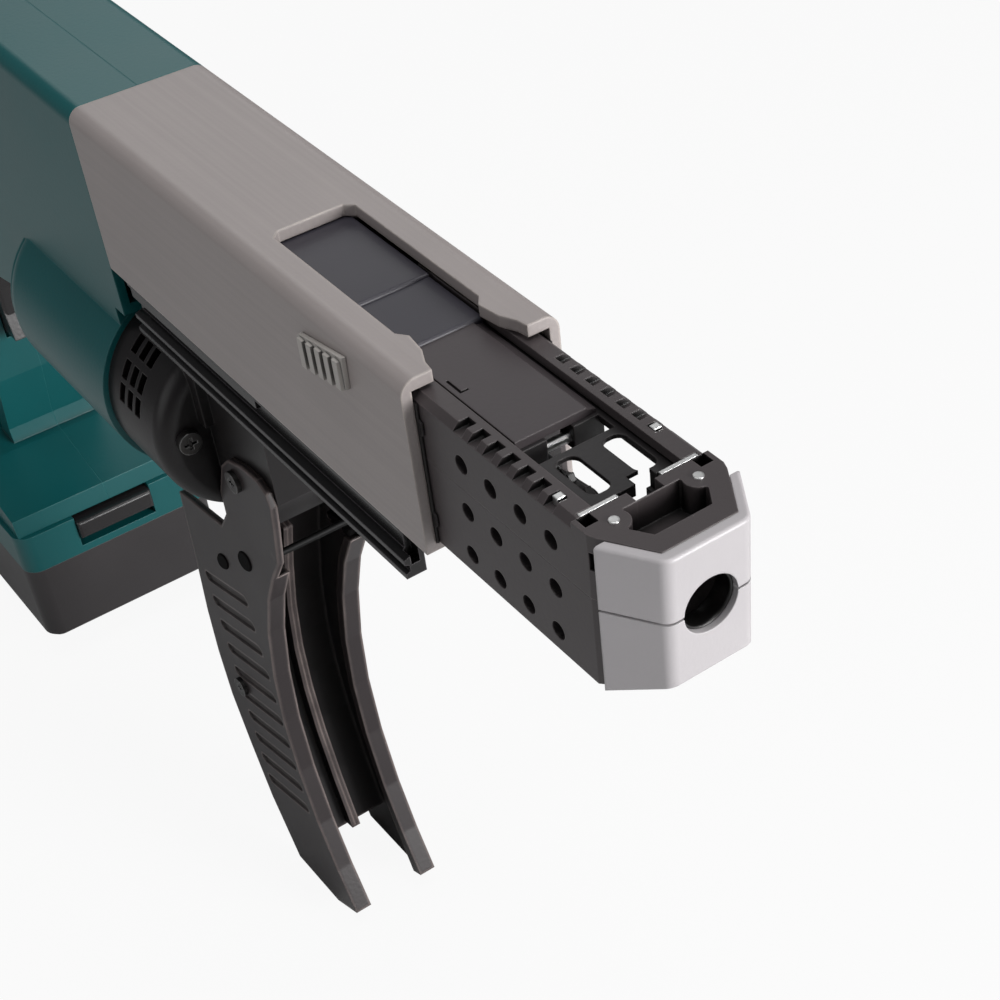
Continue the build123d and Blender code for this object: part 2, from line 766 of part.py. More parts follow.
# Strip guide, right half: a plate with grooves, a front flange and half of the web
with BuildPart() as guide_right:
    with BuildSketch(Plane.XZ.offset(guide_half - guide_plate_t)):
        with BuildLine():
            Polyline(
                (-203.0, -100.3),
                (-196.6, -92.0),
                (-196.4, -84.0),
                (-190.4, -71.5),
                (-185.5, -67.0),
                (-177.2, -64.4),
                (-168.8, -63.8),
                (-164.4, -66.0),
                (-163.2, -70.0),
                (-164.6, -78.0),
                (-167.8, -92.0),
                (-174.7, -102.0),
                (-182.0, -115.0),
                (-188.4, -132.0),
                (-193.2, -153.5),
                (-194.8, -174.0),
                (-193.0, -195.0),
                (-188.0, -216.0),
                (-181.5, -233.0),
                (-174.0, -248.0),
                (-188.0, -254.5),
                (-213.9, -255.1),
                (-224.6, -232.9),
                (-231.0, -210.9),
                (-235.6, -192.0),
                (-236.8, -173.0),
                (-236.0, -155.0),
                (-232.9, -131.5),
                (-230.7, -104.7),
                close=True,
            )
        make_face()
        with Locations((-182.5, -72.0), (-222.0, -178.0)):
            Circle(1.8, mode=Mode.SUBTRACT)
        with Locations(Location((-209.4, -117.7), 35), Location((-191.5, -106.0), 35)):
            SlotOverall(8.0, 3.0, mode=Mode.SUBTRACT)
    extrude(amount=guide_plate_t)
    # Front flange turned inward
    with BuildSketch(Plane.XZ.offset(guide_half - guide_flange)):
        with BuildLine():
            Polyline(
                (-174.7, -102.0),
                (-182.0, -115.0),
                (-188.4, -132.0),
                (-193.2, -153.5),
                (-194.8, -174.0),
                (-193.0, -195.0),
                (-188.0, -216.0),
                (-181.5, -233.0),
                (-174.0, -248.0),
                (-179.0, -250.3),
                (-185.6, -234.5),
                (-191.5, -217.0),
                (-196.4, -195.5),
                (-198.2, -174.0),
                (-196.7, -153.0),
                (-192.0, -131.5),
                (-185.4, -114.5),
                (-178.5, -102.5),
                close=True,
            )
        make_face()
    extrude(amount=guide_flange - 1.0)
    # Half of the web with half of the centre rib
    with BuildSketch(Plane.XZ):
        with BuildLine():
            Polyline(
                (-198.0, -102.0),
                (-204.0, -120.0),
                (-209.5, -140.0),
                (-212.4, -160.0),
                (-212.6, -178.0),
                (-210.6, -196.0),
                (-206.0, -216.0),
                (-200.0, -236.0),
                (-202.2, -236.8),
                (-208.2, -217.0),
                (-212.9, -196.4),
                (-214.9, -178.2),
                (-214.7, -159.8),
                (-211.8, -139.4),
                (-206.2, -119.3),
                (-200.2, -101.6),
                close=True,
            )
        make_face()
    extrude(amount=guide_half - 1.0)
    with BuildSketch(Plane.XZ):
        with BuildLine():
            Polyline(
                (-193.0, -103.0),
                (-199.0, -121.0),
                (-204.3, -140.5),
                (-207.2, -160.0),
                (-207.4, -178.0),
                (-205.4, -195.5),
                (-200.9, -215.0),
                (-195.2, -234.0),
                (-200.5, -235.0),
                (-206.5, -216.0),
                (-211.0, -196.0),
                (-213.0, -178.0),
                (-212.8, -160.0),
                (-209.9, -140.0),
                (-204.4, -120.0),
                (-198.4, -102.0),
                close=True,
            )
        make_face()
    extrude(amount=1.5)
    # Slanting grooves across the outer face
    with BuildSketch(Plane.XZ.offset(guide_half - 0.8)):
        for groove in range(10):
            with Locations(Location((-213.5 + 0.6 * groove, -131.0 - 9.6 * groove), 16)):
                SlotOverall(30.0, 3.6)
    extrude(amount=2, mode=Mode.SUBTRACT)
    with BuildSketch(Plane.XZ.offset(guide_half - guide_plate_t - 1)):
        with Locations((-170.0, -90.5)):
            Circle(1.0)
    extrude(amount=2.4, mode=Mode.SUBTRACT)
guide_right.part.label = "guide_right"
export_step(guide_right.part, "parts/guide_right.step")

with BuildPart() as guide_left:
    add(mirror(guide_right.part, about=Plane.XZ))
guide_left.part.label = "guide_left"
export_step(guide_left.part, "parts/guide_left.step")

# Steel pin across the mouth of the strip guide
with BuildPart() as guide_pin:
    with BuildSketch(Plane.XZ.offset(guide_half - 0.6)):
        with Locations((-170.0, -90.5)):
            Circle(1.0)
    extrude(amount=-2 * (guide_half - 0.6))
guide_pin.part.label = "guide_pin"
export_step(guide_pin.part, "parts/guide_pin.step")

# Screws that hold the strip guide, two on each side
with BuildPart() as guide_screws:
    with BuildSketch(Plane.XZ.offset(guide_half)):
        with Locations((-182.5, -72.0), (-222.0, -178.0)):
            Circle(3.2)
    extrude(amount=1.6)
    with BuildSketch(Plane.XZ.offset(guide_half - guide_plate_t)):
        with Locations((-182.5, -72.0), (-222.0, -178.0)):
            Circle(1.75)
    extrude(amount=guide_plate_t)
    with BuildSketch(Plane.XZ.offset(guide_half + 0.7)):
        with Locations((-182.5, -72.0), (-222.0, -178.0)):
            Rectangle(3.4, 0.8)
            Rectangle(0.8, 3.4)
    extrude(amount=2, mode=Mode.SUBTRACT)
    add(mirror(guide_screws.part, about=Plane.XZ))
guide_screws.part.label = "guide_screws"
export_step(guide_screws.part, "parts/guide_screws.step")

# Screws in the front of the motor cover, heads forward in the concave shoulders
with BuildPart() as cover_screws:
    with BuildSketch(Plane.YZ.offset(cover_front)):
        with Locations((-20.4, -64.5), (20.4, -64.5)):
            Circle(3.3)
    extrude(amount=2.2)
    with BuildSketch(Plane.YZ.offset(cover_front + 1.2)):
        with Locations((-20.4, -64.5), (20.4, -64.5)):
            Rectangle(3.6, 0.9)
            Rectangle(0.9, 3.6)
    extrude(amount=2, mode=Mode.SUBTRACT)
cover_screws.part.label = "cover_screws"
export_step(cover_screws.part, "parts/cover_screws.step")

# Spindle with its rear and front bearings
with BuildPart() as spindle:
    with BuildSketch(Plane.YZ.offset(-210.6)):
        Circle(spindle_r)
    extrude(amount=40.6)
    with BuildSketch(Plane.YZ.offset(-192.8)):
        Circle(6.0)
    extrude(amount=1.2)
    with BuildSketch(Plane.YZ.offset(-175)):
        RegularPolygon(3.2, 6, major_radius=False)
    extrude(amount=6, mode=Mode.SUBTRACT)
spindle.part.label = "spindle"
export_step(spindle.part, "parts/spindle.step")

with BuildPart() as spindle_bearings:
    with BuildSketch(Plane.YZ.offset(-210.6)):
        Circle(bearing_r)
        Circle(spindle_r, mode=Mode.SUBTRACT)
    extrude(amount=5.4)
    with BuildSketch(Plane.YZ.offset(-197.1)):
        Circle(bearing_r)
        Circle(spindle_r, mode=Mode.SUBTRACT)
    extrude(amount=4.1)
spindle_bearings.part.label = "spindle_bearings"
export_step(spindle_bearings.part, "parts/spindle_bearings.step")

# Gears with the tooth tips kept at the pitch circle
with BuildPart() as spindle_gear:
    with BuildSketch(Plane.YZ.offset(gear_back)):
        Circle(spindle_teeth * gear_module / 2 - 0.05)
        with PolarLocations(spindle_teeth * gear_module / 2, spindle_teeth):
            Rectangle(3.0, 1.5, mode=Mode.SUBTRACT)
        Circle(spindle_r, mode=Mode.SUBTRACT)
    extrude(amount=gear_width)
spindle_gear.part.label = "spindle_gear"
export_step(spindle_gear.part, "parts/spindle_gear.step")

with BuildPart() as idler_high:
    with BuildSketch(Plane.YZ.offset(gear_back)):
        with Locations((0, idler_high_z)):
            Circle(idler_high_teeth * gear_module / 2 - 0.05)
            with PolarLocations(idler_high_teeth * gear_module / 2, idler_high_teeth):
                Rectangle(3.0, 1.5, mode=Mode.SUBTRACT)
            Circle(idler_pin_r + turn_gap, mode=Mode.SUBTRACT)
    extrude(amount=gear_width)
idler_high.part.label = "idler_high"
export_step(idler_high.part, "parts/idler_high.step")

with BuildPart() as idler_low:
    with BuildSketch(Plane.YZ.offset(gear_back)):
        with Locations((0, idler_low_z)):
            Circle(idler_low_teeth * gear_module / 2 - 0.05)
            with PolarLocations(idler_low_teeth * gear_module / 2, idler_low_teeth):
                Rectangle(3.0, 1.5, mode=Mode.SUBTRACT)
            Circle(idler_pin_r + turn_gap, mode=Mode.SUBTRACT)
    extrude(amount=gear_width)
idler_low.part.label = "idler_low"
export_step(idler_low.part, "parts/idler_low.step")

with BuildPart() as idler_pins:
    with BuildSketch(Plane.YZ.offset(-209)):
        with Locations((0, idler_high_z), (0, idler_low_z)):
            Circle(idler_pin_r)
    extrude(amount=14)
idler_pins.part.label = "idler_pins"
export_step(idler_pins.part, "parts/idler_pins.step")

# Bit holder, long bit and the return spring around them
with BuildPart() as bit_holder:
    with BuildSketch(Plane.YZ.offset(-180)):
        Circle(holder_r)
    extrude(amount=34)
    chamfer(bit_holder.faces().sort_by(Axis.X)[-1].edges(), 1.0)
    with BuildSketch(Plane.YZ.offset(-181)):
        Circle(spindle_r)
    extrude(amount=11, mode=Mode.SUBTRACT)
    with BuildSketch(Plane.YZ.offset(-170)):
        RegularPolygon(3.18, 6, major_radius=False)
    extrude(amount=26, mode=Mode.SUBTRACT)
bit_holder.part.label = "bit_holder"
export_step(bit_holder.part, "parts/bit_holder.step")

with BuildPart() as driver_bit:
    with BuildSketch(Plane.YZ.offset(-170)):
        RegularPolygon(3.17, 6, major_radius=False)
    extrude(amount=38)
    with BuildSketch(Plane.YZ.offset(-132)):
        Circle(bit_r)
    extrude(amount=79)
    with BuildSketch(Plane.YZ.offset(-53)):
        Circle(bit_r)
    extrude(amount=8, taper=14)
    with BuildSketch(Plane.YZ.offset(-50)):
        with Locations((1.75, 1.75), (-1.75, 1.75), (1.75, -1.75), (-1.75, -1.75)):
            Rectangle(2.2, 2.2)
    extrude(amount=6, mode=Mode.SUBTRACT)
driver_bit.part.label = "driver_bit"
export_step(driver_bit.part, "parts/driver_bit.step")

with BuildPart() as return_spring:
    with BuildLine() as spring_path:
        Helix(pitch=12.1, height=96.8, radius=spring_r, center=(-192.2, 0, 0), direction=(1, 0, 0))
    with BuildSketch(Plane(origin=spring_path.line @ 0, z_dir=spring_path.line % 0)):
        RegularPolygon(wire_r, 5)
    sweep(is_frenet=True)
return_spring.part.label = "return_spring"
export_step(return_spring.part, "parts/return_spring.step")

# Armature: shaft with its pinion, slotted core, winding ends and commutator
with BuildPart() as armature:
    with BuildSketch(Plane.YZ.offset(-290.9)):
        with Locations((0, motor_z)):
            Circle(shaft_r)
    extrude(amount=92.9)
    with BuildSketch(Plane.YZ.offset(-272)):
        with Locations((0, motor_z)):
            Circle(13.0)
            with PolarLocations(12.5, 10):
                Rectangle(3.0, 1.6, mode=Mode.SUBTRACT)
            Circle(shaft_r, mode=Mode.SUBTRACT)
    extrude(amount=38)
    with BuildSketch(Plane.YZ.offset(-276)):
        with Locations((0, motor_z)):
            Circle(10.5)
            Circle(shaft_r, mode=Mode.SUBTRACT)
    extrude(amount=46)
    with BuildSketch(Plane.YZ.offset(-284)):
        with Locations((0, motor_z)):
            Circle(8.0)
            Circle(shaft_r, mode=Mode.SUBTRACT)
    extrude(amount=7)
    with BuildSketch(Plane.YZ.offset(gear_back)):
        with Locations((0, motor_z)):
            Circle(pinion_teeth * gear_module / 2 - 0.05)
            with PolarLocations(pinion_teeth * gear_module / 2, pinion_teeth):
                Rectangle(1.8, 1.5, mode=Mode.SUBTRACT)
    extrude(amount=gear_width)
armature.part.label = "armature"
export_step(armature.part, "parts/armature.step")

with BuildPart() as motor_bearings:
    with BuildSketch(Plane.YZ.offset(-209)):
        with Locations((0, motor_z)):
            Circle(motor_bearing_r)
            Circle(shaft_r, mode=Mode.SUBTRACT)
    extrude(amount=4)
    with BuildSketch(Plane.YZ.offset(-291)):
        with Locations((0, motor_z)):
            Circle(motor_bearing_r)
            Circle(shaft_r, mode=Mode.SUBTRACT)
    extrude(amount=4)
motor_bearings.part.label = "motor_bearings"
export_step(motor_bearings.part, "parts/motor_bearings.step")

# Cooling fan behind the vents
with BuildPart() as fan:
    with BuildSketch(Plane.YZ.offset(-213)):
        with Locations((0, motor_z)):
            Circle(fan_r)
            Circle(shaft_r, mode=Mode.SUBTRACT)
    extrude(amount=1.6)
    with BuildSketch(Plane.YZ.offset(-222)):
        with Locations((0, motor_z)):
            Circle(6.0)
            Circle(shaft_r, mode=Mode.SUBTRACT)
            with PolarLocations(fan_r - 7.5, 12):
                Rectangle(14.0, 1.2, rotation=24)
    extrude(amount=9)
fan.part.label = "fan"
export_step(fan.part, "parts/fan.step")

with BuildPart() as motor_can:
    with BuildSketch(Plane.YZ.offset(-287)):
        with Locations((0, motor_z)):
            Circle(22.0)
            Circle(19.6, mode=Mode.SUBTRACT)
    extrude(amount=61)
motor_can.part.label = "motor_can"
export_step(motor_can.part, "parts/motor_can.step")

with BuildPart() as magnets:
    with BuildSketch(Plane.YZ.offset(-274)):
        with Locations((0, motor_z)):
            Circle(19.6)
            Circle(14.4, mode=Mode.SUBTRACT)
            Rectangle(60, 12, mode=Mode.SUBTRACT)
    extrude(amount=42)
magnets.part.label = "magnets"
export_step(magnets.part, "parts/magnets.step")

# Rear motor bracket with the bearing seat
with BuildPart() as motor_bracket:
    with BuildSketch(Plane.YZ.offset(-291)):
        with Locations((0, motor_z)):
            Circle(22.0)
            Circle(motor_bearing_r, mode=Mode.SUBTRACT)
    extrude(amount=4)
    with BuildSketch(Plane.YZ.offset(-287)):
        with Locations((0, motor_z + 12), (0, motor_z - 12)):
            Rectangle(7.0, 7.4)
    extrude(amount=10)
    with BuildSketch(Plane.YZ.offset(-285)):
        with Locations((0, motor_z)):
            Rectangle(4.2, 31.6)
    extrude(amount=9, mode=Mode.SUBTRACT)
motor_bracket.part.label = "motor_bracket"
export_step(motor_bracket.part, "parts/motor_bracket.step")

with BuildPart() as brushes:
    with BuildSketch(Plane.YZ.offset(-284)):
        with Locations((0, motor_z + 11.9), (0, motor_z - 11.9)):
            Rectangle(4.0, 7.6)
    extrude(amount=5.6)
brushes.part.label = "brushes"
export_step(brushes.part, "parts/brushes.step")

# Housing, right half: barrel, upper body, grip and foot, hollow inside
with BuildPart() as housing_right:
    with BuildSketch(Plane.YZ.offset(barrel_rear)):
        with Locations((0, motor_z)):
            Circle(barrel_r)
    extrude(amount=cover_rear - barrel_rear)
    fillet(housing_right.faces().sort_by(Axis.X)[0].edges(), 8.0)
    with BuildSketch(Plane.XZ.offset(casing_half)) as upper_body:
        with BuildLine():
            Polyline(
                (casing_rear - slide_gap, casing_top),
                (grip_x + 8, casing_top),
                (grip_x - 18, 8),
                (grip_x - 34, -20),
                (grip_x - 44, -66),
                (grip_x, -90),
                (-250, -60),
                (cover_rear - slide_gap, -60),
                (cover_rear - slide_gap, -38.8),
                (casing_rear - slide_gap, -38.8),
                close=True,
            )
        make_face()
        fillet(upper_body.vertices().sort_by(Axis.X)[1:4], 10.0)
    extrude(amount=-2 * casing_half)
    fillet(housing_right.faces().filter_by(Plane.XY).sort_by(Axis.Z)[-1].edges().filter_by(Axis.X), 3.8)
    with BuildSketch(Plane.XZ.offset(grip_half)):
        with BuildLine():
            Polyline(
                (grip_x + 8, -50),
                (grip_x - 36, -30),
                (grip_x - 45, -75),
                (grip_x - 51, -120),
                (grip_x - 59, -180),
                (grip_x - 60, foot_top - 4),
                (grip_x - 4, foot_top - 4),
                (grip_x - 6, -174),
                (grip_x, -150),
                (grip_x + 2, -112),
                (grip_x + 10, -92),
                close=True,
            )
        make_face()
    extrude(amount=-2 * grip_half)
    with BuildSketch(Plane.XZ.offset(foot_half)):
        with BuildLine():
            Polyline(
                (grip_x - 60, foot_top + 8),
                (grip_x - 76, foot_top),
                (grip_x - 78, foot_floor),
                (grip_x + 30, foot_floor),
                (grip_x + 29, foot_top - 3),
                (grip_x - 2, foot_top + 4),
                close=True,
            )
        make_face()
    extrude(amount=-2 * foot_half)
    # Hollow barrel with two rings that hold the motor
    with BuildSketch(Plane.YZ.offset(-291)):
        with Locations((0, motor_z)):
            Circle(barrel_r - shell_t)
    extrude(amount=70, mode=Mode.SUBTRACT)
    with BuildSketch(Plane.YZ.offset(-291)):
        with Locations((0, motor_z)):
            Circle(barrel_r - 1)
            Circle(22.0, mode=Mode.SUBTRACT)
    extrude(amount=4)
    with BuildSketch(Plane.YZ.offset(-238)):
        with Locations((0, motor_z)):
            Circle(barrel_r - 1)
            Circle(22.0, mode=Mode.SUBTRACT)
    extrude(amount=4)
    # Hollow upper body, grip and foot
    with BuildSketch(Plane.XZ.offset(casing_half - shell_t)):
        with BuildLine():
            Polyline((-221, 16.4), (grip_x + 10, 16.4), (grip_x - 15, 5), (grip_x - 30, -22), (grip_x - 34, -36), (-221, -36), close=True)
        make_face()
    extrude(amount=-2 * (casing_half - shell_t), mode=Mode.SUBTRACT)
    with BuildSketch(Plane.XZ.offset(grip_half - shell_t)):
        with BuildLine():
            Polyline(
                (grip_x + 4, -30),
                (grip_x - 33, -30),
                (grip_x - 41.5, -75),
                (grip_x - 48, -120),
                (grip_x - 55.5, -180),
                (grip_x - 56, -191),
                (grip_x - 8, -191),
                (grip_x - 9, -174),
                (grip_x - 3, -150),
                (grip_x - 1, -112),
                (grip_x + 4, -97),
                close=True,
            )
        make_face()
    extrude(amount=-2 * (grip_half - shell_t), mode=Mode.SUBTRACT)
    # Screw bosses of both halves
    with BuildSketch(Plane.XZ.offset(casing_half - shell_t + 0.2)):
        with Locations((-280, 8), (grip_x - 18, -14)):
            Circle(boss_r)
    extrude(amount=-2 * (casing_half - shell_t + 0.2))
    with BuildSketch(Plane.XZ.offset(grip_half - 0.6)):
        with Locations((grip_x - 38, -66), (grip_x - 47, -140), (grip_x - 18, -176)):
            Circle(boss_r)
    extrude(amount=-2 * (grip_half - 0.6))
    with BuildSketch(Plane.XZ.offset(16)):
        with Locations(housing_screw_places):
            Circle(1.6)
    extrude(amount=-28, mode=Mode.SUBTRACT)
    with BuildSketch(Plane.XZ.offset(14)):
        with Locations(housing_screw_places):
            Circle(3.3)
    extrude(amount=8, mode=Mode.SUBTRACT)
    # Trigger slot, direction lever slot and the opening for the terminals
    with BuildSketch(Plane.XY.offset(-134)):
        with Locations((grip_x - 3, 0)):
            Rectangle(22.0, 17.6)
    extrude(amount=32, mode=Mode.SUBTRACT)
    with BuildSketch(Plane.XZ.offset(30)):
        with Locations((grip_x - 6, -96)):
            Rectangle(10.4, 5.2)
    extrude(amount=-60, mode=Mode.SUBTRACT)
    with BuildSketch(Plane.XY.offset(foot_floor - 1)):
        with Locations((grip_x - 32, 0)):
            Rectangle(24.0, 26.0)
    extrude(amount=4.5, mode=Mode.SUBTRACT)
    # Tapped holes for the belt hook on both sides of the foot
    with BuildSketch(Plane.XZ.offset(foot_half + 4)):
        with Locations((grip_x + 8, -188.5)):
            Circle(2.0)
    extrude(amount=-16, mode=Mode.SUBTRACT)
    with BuildSketch(Plane.XZ.offset(-foot_half - 4)):
        with Locations((grip_x + 8, -188.5)):
            Circle(2.0)
    extrude(amount=16, mode=Mode.SUBTRACT)
    # Shallow seats of the grip pads
    with BuildSketch(Plane.XZ.offset(grip_half - 0.8)):
        with BuildLine():
            Polyline((grip_x - 10, -106), (grip_x - 40, -102), (grip_x - 44, -130), (grip_x - 50, -168), (grip_x - 14, -168), (grip_x - 8, -146), close=True)
        make_face()
    extrude(amount=3, mode=Mode.SUBTRACT)
    with BuildSketch(Plane.XZ.offset(-grip_half + 0.8)):
        with BuildLine():
            Polyline((grip_x - 10, -106), (grip_x - 40, -102), (grip_x - 44, -130), (grip_x - 50, -168), (grip_x - 14, -168), (grip_x - 8, -146), close=True)
        make_face()
    extrude(amount=-3, mode=Mode.SUBTRACT)
    split(bisect_by=Plane.XZ, keep=Keep.TOP)
housing_right.part.label = "housing_right"
export_step(housing_right.part, "parts/housing_right.step")

with BuildPart() as housing_left:
    add(mirror(housing_right.part, about=Plane.XZ))
    # Slot of the depth knob and hole of the lock button
    with BuildSketch(Plane.XY.offset(knob_z - knob_r - 1)):
        with Locations((-232.5, knob_y)):
            Rectangle(8.0, 2 * knob_r + 2)
    extrude(amount=2 * knob_r + 2, mode=Mode.SUBTRACT)
    with BuildSketch(Plane.XZ.offset(-10)):
        with Locations((grip_x - 22, -92)):
            Circle(3.6 + slide_gap)
    extrude(amount=-12, mode=Mode.SUBTRACT)
housing_left.part.label = "housing_left"
export_step(housing_left.part, "parts/housing_left.step")

# Screws that close the two housing halves
with BuildPart() as housing_screws:
    with BuildSketch(Plane.XZ.offset(14)):
        with Locations(housing_screw_places):
            Circle(3.2)
    extrude(amount=2.0)
    with BuildSketch(Plane.XZ.offset(14)):
        with Locations(housing_screw_places):
            Circle(1.6)
    extrude(amount=-24)
    with BuildSketch(Plane.XZ.offset(15)):
        with Locations(housing_screw_places):
            Rectangle(3.4, 0.8)
            Rectangle(0.8, 3.4)
    extrude(amount=2, mode=Mode.SUBTRACT)
housing_screws.part.label = "housing_screws"
export_step(housing_screws.part, "parts/housing_screws.step")

# Soft pads let into both sides of the grip
with BuildPart() as grip_pads:
    with BuildSketch(Plane.XZ.offset(grip_half - 0.8)):
        with BuildLine():
            Polyline((grip_x - 10, -106), (grip_x - 40, -102), (grip_x - 44, -130), (grip_x - 50, -168), (grip_x - 14, -168), (grip_x - 8, -146), close=True)
        make_face()
        with Locations((grip_x - 47, -140)):
            Circle(4.4, mode=Mode.SUBTRACT)
    extrude(amount=1.8)
    fillet(grip_pads.faces().sort_by(Axis.Y)[0].edges().filter_by(GeomType.LINE), 0.7)
    add(mirror(grip_pads.part, about=Plane.XZ))
grip_pads.part.label = "grip_pads"
export_step(grip_pads.part, "parts/grip_pads.step")

# Trigger with a hollowed finger face, and the switch behind it
with BuildPart() as trigger:
    with BuildSketch(Plane.XZ.offset(8.5)):
        with BuildLine():
            Polyline(
                (grip_x - 10, -105),
                (grip_x + 9, -105),
                (grip_x + 7.5, -112),
                (grip_x + 7.5, -122),
                (grip_x + 10, -131),
                (grip_x - 10, -131),
                close=True,
            )
        make_face()
    extrude(amount=-17.0)
    fillet(trigger.edges().filter_by(Axis.Z), 1.2)
trigger.part.label = "trigger"
export_step(trigger.part, "parts/trigger.step")

with BuildPart() as switch_body:
    with BuildSketch(Plane.XY.offset(-136)):
        with Locations((grip_x - 26.6, 0)):
            Rectangle(19.2, 2 * (grip_half - shell_t))
    extrude(amount=34)
    with BuildSketch(Plane.YZ.offset(grip_x - 17)):
        with Locations((0, -118)):
            Circle(2.4)
    extrude(amount=1.0)
switch_body.part.label = "switch_body"
export_step(switch_body.part, "parts/switch_body.step")

with BuildPart() as direction_lever:
    with BuildSketch(Plane.XZ.offset(20.6)):
        with Locations((grip_x - 6, -96)):
            Rectangle(10.0, 4.8)
    extrude(amount=-41.2)
direction_lever.part.label = "direction_lever"
export_step(direction_lever.part, "parts/direction_lever.step")

with BuildPart() as lock_button:
    with BuildSketch(Plane.XZ.offset(-8)):
        with Locations((grip_x - 22, -92)):
            Circle(3.6)
    extrude(amount=-12)
    fillet(lock_button.faces().sort_by(Axis.Y)[-1].edges(), 0.8)
lock_button.part.label = "lock_button"
export_step(lock_button.part, "parts/lock_button.step")

# Depth knob and the stop rod that it drives
with BuildPart() as depth_knob:
    with BuildSketch(Plane.YZ.offset(-236)):
        with Locations((knob_y, knob_z)):
            Circle(knob_r)
            with PolarLocations(knob_r, 20):
                Rectangle(1.2, 1.2, mode=Mode.SUBTRACT)
            Circle(rod_r + turn_gap, mode=Mode.SUBTRACT)
    extrude(amount=7.0)
depth_knob.part.label = "depth_knob"
export_step(depth_knob.part, "parts/depth_knob.step")

with BuildPart() as depth_rod:
    with BuildSketch(Plane.YZ.offset(-238)):
        with Locations((knob_y, knob_z)):
            Circle(rod_r)
    extrude(amount=45.0)
depth_rod.part.label = "depth_rod"
export_step(depth_rod.part, "parts/depth_rod.step")

# Terminal block in the foot
with BuildPart() as terminal_block:
    with BuildSketch(Plane.XY.offset(foot_floor - 6.5)):
        with Locations((grip_x - 32, 0)):
            Rectangle(24.0, 26.0)
    extrude(amount=10)
    with BuildSketch(Plane.XY.offset(foot_floor - 7)):
        with Locations((grip_x - 32, -8), (grip_x - 32, 0), (grip_x - 32, 8)):
            Rectangle(18.0, 1.6)
    extrude(amount=5.5, mode=Mode.SUBTRACT)
terminal_block.part.label = "terminal_block"
export_step(terminal_block.part, "parts/terminal_block.step")

# Battery: lid with the slide channel, case and release button
with BuildPart() as battery_lid:
    with BuildSketch(Plane.XY.offset(battery_seam)):
        with Locations(((battery_front + battery_rear) / 2, 0)):
            RectangleRounded(battery_front - battery_rear, 2 * battery_half, 6)
    extrude(amount=foot_floor - battery_seam - slide_gap)
    with BuildSketch(Plane.XY.offset(foot_floor - 8)):
        with Locations((grip_x - 49, 0)):
            Rectangle(64.0, 27.0)
    extrude(amount=10, mode=Mode.SUBTRACT)
    with BuildSketch(Plane.XY.offset(foot_floor - 13)):
        with Locations((battery_front, 0)):
            Rectangle(13.6, 30.4)
    extrude(amount=15, mode=Mode.SUBTRACT)
battery_lid.part.label = "battery_lid"
export_step(battery_lid.part, "parts/battery_lid.step")

with BuildPart() as battery_case:
    with BuildSketch(Plane.XY.offset(battery_floor)):
        with Locations(((battery_front + battery_rear) / 2, 0)):
            RectangleRounded(battery_front - battery_rear, 2 * battery_half, 6)
    extrude(amount=battery_seam - battery_floor)
    chamfer(battery_case.faces().sort_by(Axis.Z)[0].edges(), 2.0)
    with BuildSketch(Plane.XY.offset(battery_floor + 3)):
        with Locations(((battery_front + battery_rear) / 2, 0)):
            Rectangle(battery_front - battery_rear - 6, 2 * battery_half - 6)
    extrude(amount=40, mode=Mode.SUBTRACT)
battery_case.part.label = "battery_case"
export_step(battery_case.part, "parts/battery_case.step")

# Five cell pairs in the battery
with BuildPart() as battery_cells:
    with BuildSketch(Plane.XZ.offset(cell_half)):
        with Locations(((battery_front + battery_rear) / 2, battery_floor + 12.1)):
            with GridLocations(18.6, 1, 5, 1):
                Circle(9.1)
    extrude(amount=-2 * cell_half)
battery_cells.part.label = "battery_cells"
export_step(battery_cells.part, "parts/battery_cells.step")

with BuildPart() as battery_button:
    with BuildSketch(Plane.XY.offset(foot_floor - 9)):
        with Locations((battery_front - 1.8, 0)):
            Rectangle(7.8, 30.0)
    extrude(amount=7.4)
    fillet(battery_button.faces().sort_by(Axis.X)[-1].edges(), 1.2)
battery_button.part.label = "battery_button"
export_step(battery_button.part, "parts/battery_button.step")

# Belt hook of bent flat steel and its screw
with BuildPart() as belt_hook:
    with BuildSketch(Plane.YZ.offset(grip_x)):
        with BuildLine():
            Polyline(
                (foot_half, -193.0),
                (foot_half, -178.0),
                (foot_half + 7.0, -171.0),
                (foot_half + 7.0, -138.0),
                (foot_half + 4.0, -134.0),
                (foot_half + 5.6, -133.0),
                (foot_half + 8.8, -137.4),
                (foot_half + 8.8, -171.8),
                (foot_half + hook_t, -178.8),
                (foot_half + hook_t, -193.0),
                close=True,
            )
        make_face()
    extrude(amount=16.0)
    with BuildSketch(Plane.XZ.offset(2 - foot_half)):
        with Locations((grip_x + 8, -188.5)):
            Circle(2.05)
    extrude(amount=-6, mode=Mode.SUBTRACT)
belt_hook.part.label = "belt_hook"
export_step(belt_hook.part, "parts/belt_hook.step")

with BuildPart() as hook_screw:
    with BuildSketch(Plane.XZ.offset(8 - foot_half)):
        with Locations((grip_x + 8, -188.5)):
            Circle(2.0)
    extrude(amount=-8 - hook_t)
    with BuildSketch(Plane.XZ.offset(-foot_half - hook_t)):
        with Locations((grip_x + 8, -188.5)):
            Circle(3.9)
            Rectangle(5.0, 1.0, mode=Mode.SUBTRACT)
    extrude(amount=-2.2)
hook_screw.part.label = "hook_screw"
export_step(hook_screw.part, "parts/hook_screw.step")
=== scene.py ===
import bmesh
import bpy
import math
from mathutils import Matrix, Vector


